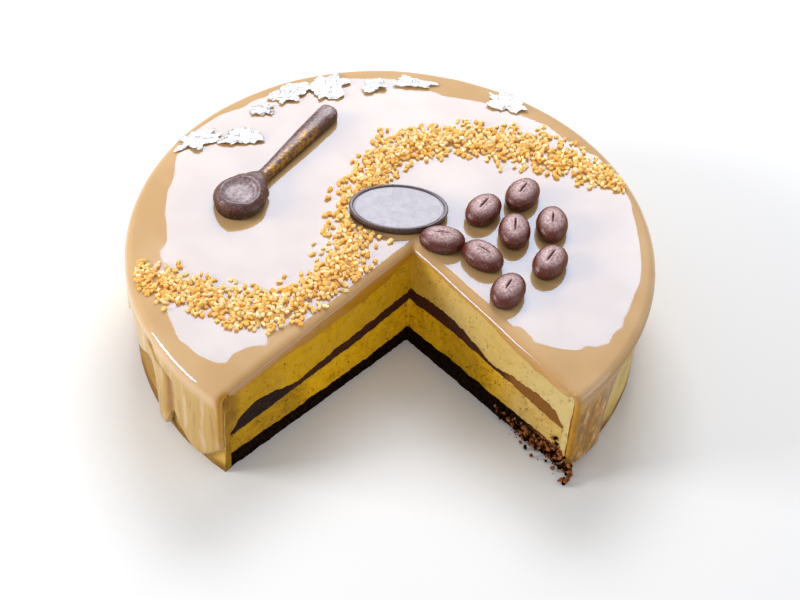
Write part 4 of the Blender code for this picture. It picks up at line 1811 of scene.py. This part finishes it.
@dataclass
class Beans:
    """The eight moulded chocolate coffee beans.

    Attributes:
        around: number of faces round each bean.
        along: number of faces along it.
        slit_width: half width of the slit.
        slit_depth: depth of the slit.
        slit_half: half length of the slit.
        lip: height of the raised edges of the slit.
        foot: height of the flat foot, on a ball of radius 1.
        span: height from the foot to the top, on that ball.
        dent: room for the dents in the height.
    """

    around: int = 72
    along: int = 40
    slit_width: float = 0.00034
    slit_depth: float = 0.0018
    slit_half: float = 0.0041
    lip: float = 0.00025
    foot: float = -0.55
    span: float = 1.47
    dent: float = 0.00035

    def build(self) -> list[bpy.types.Object]:
        """Builds the beans.

        Returns:
            The pieces.
        """
        material = ChocolateFinish("bean_chocolate", body=(0.120, 0.017, 0.008), bloom=(0.800, 0.570, 0.580),
                                   grain=0.0010, cover=0.90, patchy=0.60, coat=0.15, roughness=0.28).make()
        pieces = []
        for number, (x, y, turn) in enumerate(BEANS, start=1):
            mesh = ball(self.around, self.along)
            places, bloom, low = self._shape(places_of(mesh), number)
            shape_mesh(mesh, set_down(places, turn, x, y), bloom=bloom, low=low)
            pieces.append(place_piece(mesh, f"bean_{number}", material, (f"coffee_bean_{number}",)))
        return pieces

    def _shape(self, unit: Array, number: int) -> tuple[Array, Array, Array]:
        """Shapes a ball into a bean with a slit.

        Args:
            unit: places on the unit ball.
            number: number of the bean.

        Returns:
            The places, how much painted sheen each carries, and how low on its side it is, for painted shade.
        """
        along = unit[:, 0]
        ring = np.sqrt(np.clip(1 - along * along, 0.0, 1.0))
        angle = np.arctan2(unit[:, 1], unit[:, 2])
        angle = angle - 0.72 * np.sin(angle)
        across, up = ring * np.sin(angle), ring * np.cos(angle)
        flattened = np.where(up > 0, up * (1.0 - 0.10 * up * up), up)
        flattened = np.maximum(flattened, self.foot)
        height = flattened * (BEAN_HEIGHT - self.dent) / self.span
        places = np.column_stack((along * BEAN_LENGTH / 2, across * BEAN_WIDTH / 2, height))
        half = self.slit_half * (0.86 + 0.05 * (number % 4))
        window = ease((half - np.abs(places[:, 0])) / 0.0022)
        pinch = self.slit_width * np.sqrt(np.clip(1.05 - (places[:, 0] / half) ** 2, 0.05, 1.0))
        slit = np.exp(-((np.abs(places[:, 1]) / pinch) ** 2.4)) * window * (up > 0)
        lip = bell(np.abs(places[:, 1]), 2.6 * self.slit_width, 1.5 * self.slit_width) * window * (up > 0)
        places[:, 2] += self.lip * lip - self.slit_depth * slit
        seed = 50.0 + number
        dents = 0.00020 * ripple(places, 0.0042, seed) + 0.00009 * ripple(places, 0.0016, seed + 20)
        places[:, 2] += dents * (up > self.foot)
        # Painted sheen on top but not in the slit, and painted shade low on the sides
        return places, ease((up - 0.50) / 0.48) * (1 - slit), ease((0.25 - up) / 0.6)


@dataclass
class Plaque:
    """The oval plaque with a raised border. Its face is bare."""

    around: int = 96
    border: float = 0.0013
    recess: float = 0.0006

    def build(self) -> bpy.types.Object:
        """Builds the plaque.

        Returns:
            The piece.
        """
        radius, field = PLAQUE_LENGTH / 2, PLAQUE_HEIGHT - self.recess
        profile = [(field_share * (radius - self.border - 0.0009), field) for field_share in np.linspace(0, 1, 14)]
        profile += [(radius - self.border - 0.0007, field - 0.0002), (radius - self.border - 0.0004, field - 0.0002),
                    (radius - self.border, PLAQUE_HEIGHT - 0.0001), (radius - self.border + 0.0004, PLAQUE_HEIGHT),
                    (radius - 0.0004, PLAQUE_HEIGHT), (radius - 0.0001, PLAQUE_HEIGHT - 0.0002),
                    (radius, PLAQUE_HEIGHT - 0.0007), (radius - 0.0003, 0.0005), (radius - 0.0009, 0.0), (0.0, 0.0)]
        bm = bmesh.new()
        verts = [bm.verts.new((far, 0.0, height)) for far, height in profile]
        edges = [bm.edges.new(pair) for pair in zip(verts, verts[1:])]
        bmesh.ops.spin(bm, geom=verts + edges, cent=(0, 0, 0), axis=(0, 0, 1), angle=2 * math.pi, steps=self.around,
                       use_merge=True)
        bmesh.ops.remove_doubles(bm, verts=bm.verts, dist=MERGE_GAP / 2)
        bmesh.ops.recalc_face_normals(bm, faces=bm.faces)
        mesh = mesh_of(bm)
        places = places_of(mesh)
        places[:, 1] *= PLAQUE_WIDTH / PLAQUE_LENGTH
        top = places[:, 2] > 0.002
        places[:, 2] += np.where(top, 0.00007 * ripple(places, 0.007, 61.0), 0.0)
        out = np.hypot(places[:, 0], places[:, 1] * PLAQUE_LENGTH / PLAQUE_WIDTH)
        # Painted sheen on the face, left out in the groove as a painted shadow line and mostly off the border; the
        # sides get painted shade
        groove = bell(out, radius - 0.0016, 0.0004)
        rim = ease((out - radius + 0.0016) / 0.0006)
        bloom = np.where(top, (1.0 - 0.8 * groove) * (1 - 0.85 * rim), 0.0)
        shape_mesh(mesh, set_down(places, PLAQUE_TURN, *PLAQUE_CENTRE), bloom=bloom, low=np.where(top, 0.0, 1.0))
        material = ChocolateFinish("plaque_chocolate", body=(0.055, 0.016, 0.011), bloom=(0.420, 0.400, 0.470),
                                   cover=0.95, patchy=0.20, roughness=0.26).make()
        piece = place_piece(mesh, "plaque_disc", material, ("plaque",))
        mesh.set_sharp_from_angle(angle=math.radians(40))
        return piece


@dataclass
class Spoon:
    """The moulded chocolate spoon, dusted with gold.

    Attributes:
        around: number of faces round it.
        along: number of faces along it.
        crowding: how far the rings of faces crowd towards both ends.
        hollow: half length and half width of the hollow, as shares of the bowl's half length and of its width.
        ridge: height of the ridge round the hollow.
        fillet: extra half width where the bowl meets the handle.
        settle: share of its height that is left when it has settled.
    """

    around: int = 64
    along: int = 120
    crowding: float = 0.45
    hollow: tuple[float, float] = (0.72, 0.35)
    ridge: float = 0.0003
    fillet: float = 0.0030
    settle: float = 0.960

    def build(self) -> bpy.types.Object:
        """Builds the spoon.

        Returns:
            The piece.
        """
        mesh = ball(self.around, self.along)
        places, bloom, gilt, low = self._shape(places_of(mesh))
        direction = SPOON_END - SPOON_START
        turn = math.degrees(math.atan2(direction.y, direction.x))
        shape_mesh(mesh, set_down(places, turn, *SPOON_START), bloom=bloom, gilt=gilt, low=low)
        material = ChocolateFinish("spoon_chocolate", body=(0.085, 0.016, 0.008), bloom=(0.460, 0.360, 0.390),
                                   grain=0.0014, cover=0.90, patchy=0.70, coat=0.25, roughness=0.26,
                                   gilded=1.0).make()
        return place_piece(mesh, "chocolate_spoon_piece", material, ("chocolate_spoon",))

    def _shape(self, unit: Array) -> tuple[Array, Array, Array, Array]:
        """Shapes a ball into the spoon, along X from the far end of its bowl.

        Args:
            unit: places on the unit ball.

        Returns:
            The places, how much painted sheen each carries, how much gold dust, and how low on its side it is, for
            painted shade.
        """
        length = (SPOON_END - SPOON_START).length
        share = np.arccos(np.clip(-unit[:, 0], -1.0, 1.0)) / math.pi
        share = (1 - self.crowding) * share + self.crowding * (1 - np.cos(math.pi * share)) / 2
        along = length * share
        angle = np.arctan2(unit[:, 2], unit[:, 1])
        half, height = self._outline(along, length)
        across = half * np.sign(np.cos(angle)) * np.abs(np.cos(angle)) ** 0.85
        power = 0.95 - 0.30 * ease((along - 0.85 * SPOON_BOWL) / 0.006)
        rise = np.sign(np.sin(angle)) * np.abs(np.sin(angle)) ** power
        lift = height * np.maximum(0.0, 0.35 + 0.65 * rise) * np.minimum(1.0, 0.35 + half / 0.006)
        bowl = SPOON_BOWL / 2
        long, wide = self.hollow
        oval = np.sqrt(((along - bowl) / (long * bowl)) ** 2 + (across / (wide * SPOON_BOWL_WIDTH)) ** 2)
        up = np.sin(angle) > 0.25
        inside = np.clip(1 - oval, 0.0, 1.0)
        dip = SPOON_DEPRESSION * (0.50 * ease(inside * 4.0) + 0.25 * ease(inside * 1.2))
        lift -= np.where(up, dip, 0.0)
        lift += np.where(up, self.ridge * bell(oval, 1.12, 0.14), 0.0)
        places = np.column_stack((along, across, self.settle * lift))
        places[:, 2] += np.where(places[:, 2] > 0.001, 0.00012 * ripple(places, 0.004, 71.0), 0.0)
        # Painted sheen on top, most on the bowl's floor and the handle's end
        bloom = ease((np.sin(angle) - 0.50) / 0.3) * (0.30 + 0.70 * ease((1.05 - oval) / 0.2))
        bloom = np.maximum(bloom, 0.8 * bell(along, length - 0.005, 0.004) * ease((np.sin(angle) - 0.4) / 0.3))
        right = ease((-across / np.maximum(half, 1e-4) + 0.35) / 0.7)
        gilt = right * ease((along - 0.022) / 0.008) * ease((length - 0.012 - along) / 0.012)
        gilt *= ease((np.sin(angle) + 0.2) / 0.4)
        # The last value is for painted shade low on the sides
        return places, bloom, gilt, ease((0.55 - np.sin(angle)) / 0.5)

    def _outline(self, along: Array, length: float) -> tuple[Array, Array]:
        """Half width and height of the spoon along its length.

        Args:
            along: distances from the far end of its bowl.
            length: length of the spoon.

        Returns:
            The half widths and the heights.
        """
        bowl, end = SPOON_BOWL / 2, SPOON_HANDLE_WIDTH / 2
        widening = (SPOON_HANDLE_WIDTH - SPOON_NECK_WIDTH) / 2 * ease((along - SPOON_BOWL) / (0.75 * length))
        half = SPOON_NECK_WIDTH / 2 + widening
        tail = np.clip((along - length + end) / end, 0.0, 1.0)
        half = half * np.sqrt(1 - tail * tail)
        round_part = SPOON_BOWL_WIDTH / 2 * np.sqrt(np.clip(1 - ((along - bowl) / bowl) ** 2, 0.0, 1.0))
        fillet = self.fillet * bell(along, 2.0 * bowl, 0.0030)
        merged = (half**3 + round_part**3) ** (1 / 3) + fillet * np.where(along > 1.5 * bowl, 1.0, 0.0)
        half = np.where(along < bowl, round_part, np.where(along > length - end, half, merged))
        taper = ease(along / SPOON_BOWL - 0.5)
        return half, SPOON_BOWL_HEIGHT + (SPOON_HANDLE_HEIGHT - SPOON_BOWL_HEIGHT) * taper


@dataclass
class Leaves:
    """The scraps of silver leaf along the back of the rim."""

    cells: tuple[int, int] = (44, 30)
    thickness: float = 0.00012

    def build(self) -> list[bpy.types.Object]:
        """Builds the scraps.

        Returns:
            The pieces.
        """
        material = LeafFinish().make()
        pieces = []
        for number, (x, y, length, width, turn) in enumerate(LEAVES, start=1):
            bm = bmesh.new()
            bmesh.ops.create_grid(bm, x_segments=self.cells[0], y_segments=self.cells[1], size=1.0)
            mesh = mesh_of(bm)
            places = set_down(self._shape(places_of(mesh), number, length, width), turn, x, y)
            places[:, 2] -= TOP.drop(places[:, :2])
            self._thicken(shape_mesh(mesh, places))
            pieces.append(place_piece(mesh, f"leaf_{number}", material, (f"silver_leaf_{number}",)))
        return pieces

    def _thicken(self, mesh: bpy.types.Mesh) -> None:
        """Gives the sheet its thickness.

        Args:
            mesh: the sheet.
        """
        bm = bmesh.new()
        bm.from_mesh(mesh)
        sheet = bmesh.ops.extrude_face_region(bm, geom=list(bm.faces))
        lifted = [item for item in sheet["geom"] if isinstance(item, bmesh.types.BMVert)]
        bmesh.ops.translate(bm, vec=(0.0, 0.0, self.thickness), verts=lifted)
        bmesh.ops.recalc_face_normals(bm, faces=bm.faces)
        bm.to_mesh(mesh)
        bm.free()

    def _shape(self, unit: Array, number: int, length: float, width: float) -> Array:
        """Shapes a square sheet into a ragged, crumpled scrap.

        Args:
            unit: places on the square from -1 to 1.
            number: number of the scrap.
            length: its length.
            width: its width.

        Returns:
            The places.
        """
        u, v = unit[:, 0], unit[:, 1]
        disc = np.column_stack((u * np.sqrt(1 - v * v / 2), v * np.sqrt(1 - u * u / 2)))
        reach = np.linalg.norm(disc, axis=1)
        ragged = 0.84 + 0.36 * ripple(disc, 1 / 1.3, number + 0.5)
        lobes = 0.55 * ripple(disc, 0.62, number + 60.0)
        torn = 0.22 * ripple(disc, 0.30, number + 80.0) + 0.10 * ripple(disc, 0.12, number + 90.0) + lobes
        ragged = ragged + torn * reach**3
        wave = ripple(disc, 0.5, number + 7.3)
        crease = np.abs(ripple(disc, 0.42, number + 100.0)) + 0.6 * np.abs(ripple(disc, 0.2, number + 110.0))
        crease += 0.25 * np.abs(ripple(disc, 0.09, number + 120.0))
        height = LEAF_RISE * (0.36 + 0.32 * wave + 0.5 * crease)
        return np.column_stack((disc[:, 0] * ragged * length / 2, disc[:, 1] * ragged * width / 2, height))


# The setting


@dataclass(frozen=True)
class Softbox:
    """An area light.

    Attributes:
        name: name of the light.
        place: where it is.
        target: what it points at.
        size: its width and height.
        power: power in watts.
        colour: colour of its light.
    """

    name: str
    place: tuple[float, float, float]
    target: tuple[float, float, float]
    size: tuple[float, float]
    power: float
    colour: Colour = (1.0, 1.0, 1.0)

    def build(self) -> bpy.types.Object:
        """Builds the light.

        Returns:
            The light.
        """
        data = bpy.data.lights.new(self.name, "AREA")
        data.shape = "RECTANGLE"
        data.size, data.size_y = self.size
        data.energy = self.power
        data.color = self.colour
        light = bpy.data.objects.new(self.name, data)
        light.location = self.place
        light.rotation_euler = (Vector(self.target) - Vector(self.place)).to_track_quat("-Z", "Y").to_euler()
        bpy.context.scene.collection.objects.link(light)
        return light


@dataclass(frozen=True)
class Studio:
    """The floor, the lights and the camera."""

    camera_place: tuple[float, float, float] = (0.0052, -0.5195, 0.5754)
    pitch: float = 47.32
    roll: float = -4.28
    lens: float = 81.0
    world_light: float = 0.52
    floor_shades: tuple[Colour, Colour] = ((0.90, 0.90, 0.90), (0.93, 0.93, 0.93))
    lights: tuple[Softbox, ...] = (
        Softbox("window", (-0.0065, 0.6353, 0.6868), (-0.0065, 0.0, 0.0), (0.541, 0.338), 5.2, (0.93, 0.95, 1.0)),
        Softbox("left_fill", (-1.02, -0.15, 0.43), (0.0, 0.0, 0.03), (0.45, 0.32), 7.5),
        Softbox("right_fill", (0.95, -0.30, 0.30), (0.0, 0.0, 0.02), (0.45, 0.32), 0.9),
    )

    def build(self) -> None:
        """Builds the setting."""
        self._floor()
        for light in self.lights:
            light.build()
        self._camera()
        scene = bpy.context.scene
        scene.world = bpy.data.worlds.new("studio")
        scene.world.use_nodes = True
        background = scene.world.node_tree.nodes["Background"]
        background.inputs["Color"].default_value = (1.0, 1.0, 1.0, 1.0)
        background.inputs["Strength"].default_value = self.world_light
        scene.view_settings.view_transform = "Standard"

    def _floor(self) -> None:
        """A plain pale floor."""
        bm = bmesh.new()
        bmesh.ops.create_grid(bm, x_segments=1, y_segments=1, size=4.0)
        mesh = mesh_of(bm)
        r = Recipe("pale_floor")
        r.set(Base_Color=r.blend(r.noise(0.4), *self.floor_shades), Roughness=0.7)
        mesh.materials.append(r.material)
        floor = bpy.data.objects.new("floor", mesh)
        bpy.context.scene.collection.objects.link(floor)

    def _camera(self) -> None:
        """The camera at the photograph's place."""
        pitch, roll = math.radians(self.pitch), math.radians(self.roll)
        back = Vector((0.0, -math.cos(pitch), math.sin(pitch)))
        up = Vector((0.0, math.sin(pitch), math.cos(pitch)))
        right = Vector((1.0, 0.0, 0.0))
        across = math.cos(roll) * right - math.sin(roll) * up
        upright = math.sin(roll) * right + math.cos(roll) * up
        data = bpy.data.cameras.new("camera")
        data.lens = self.lens
        data.sensor_width = 36.0
        data.clip_start = 0.01
        camera = bpy.data.objects.new("camera", data)
        turn = Matrix((across, upright, back)).transposed().to_4x4()
        camera.matrix_world = Matrix.Translation(Vector(self.camera_place)) @ turn
        bpy.context.scene.collection.objects.link(camera)
        bpy.context.scene.camera = camera


def main() -> None:
    """Builds the cake's pieces and the studio round it."""
    logging.basicConfig(level=logging.INFO, format="%(message)s")
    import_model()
    Layers().build()
    Glaze().build()
    Crisps().build()
    Crumbs().build()
    Beans().build()
    Plaque().build()
    Spoon().build()
    Leaves().build()
    Studio().build()


if __name__ == "__main__":
    main()
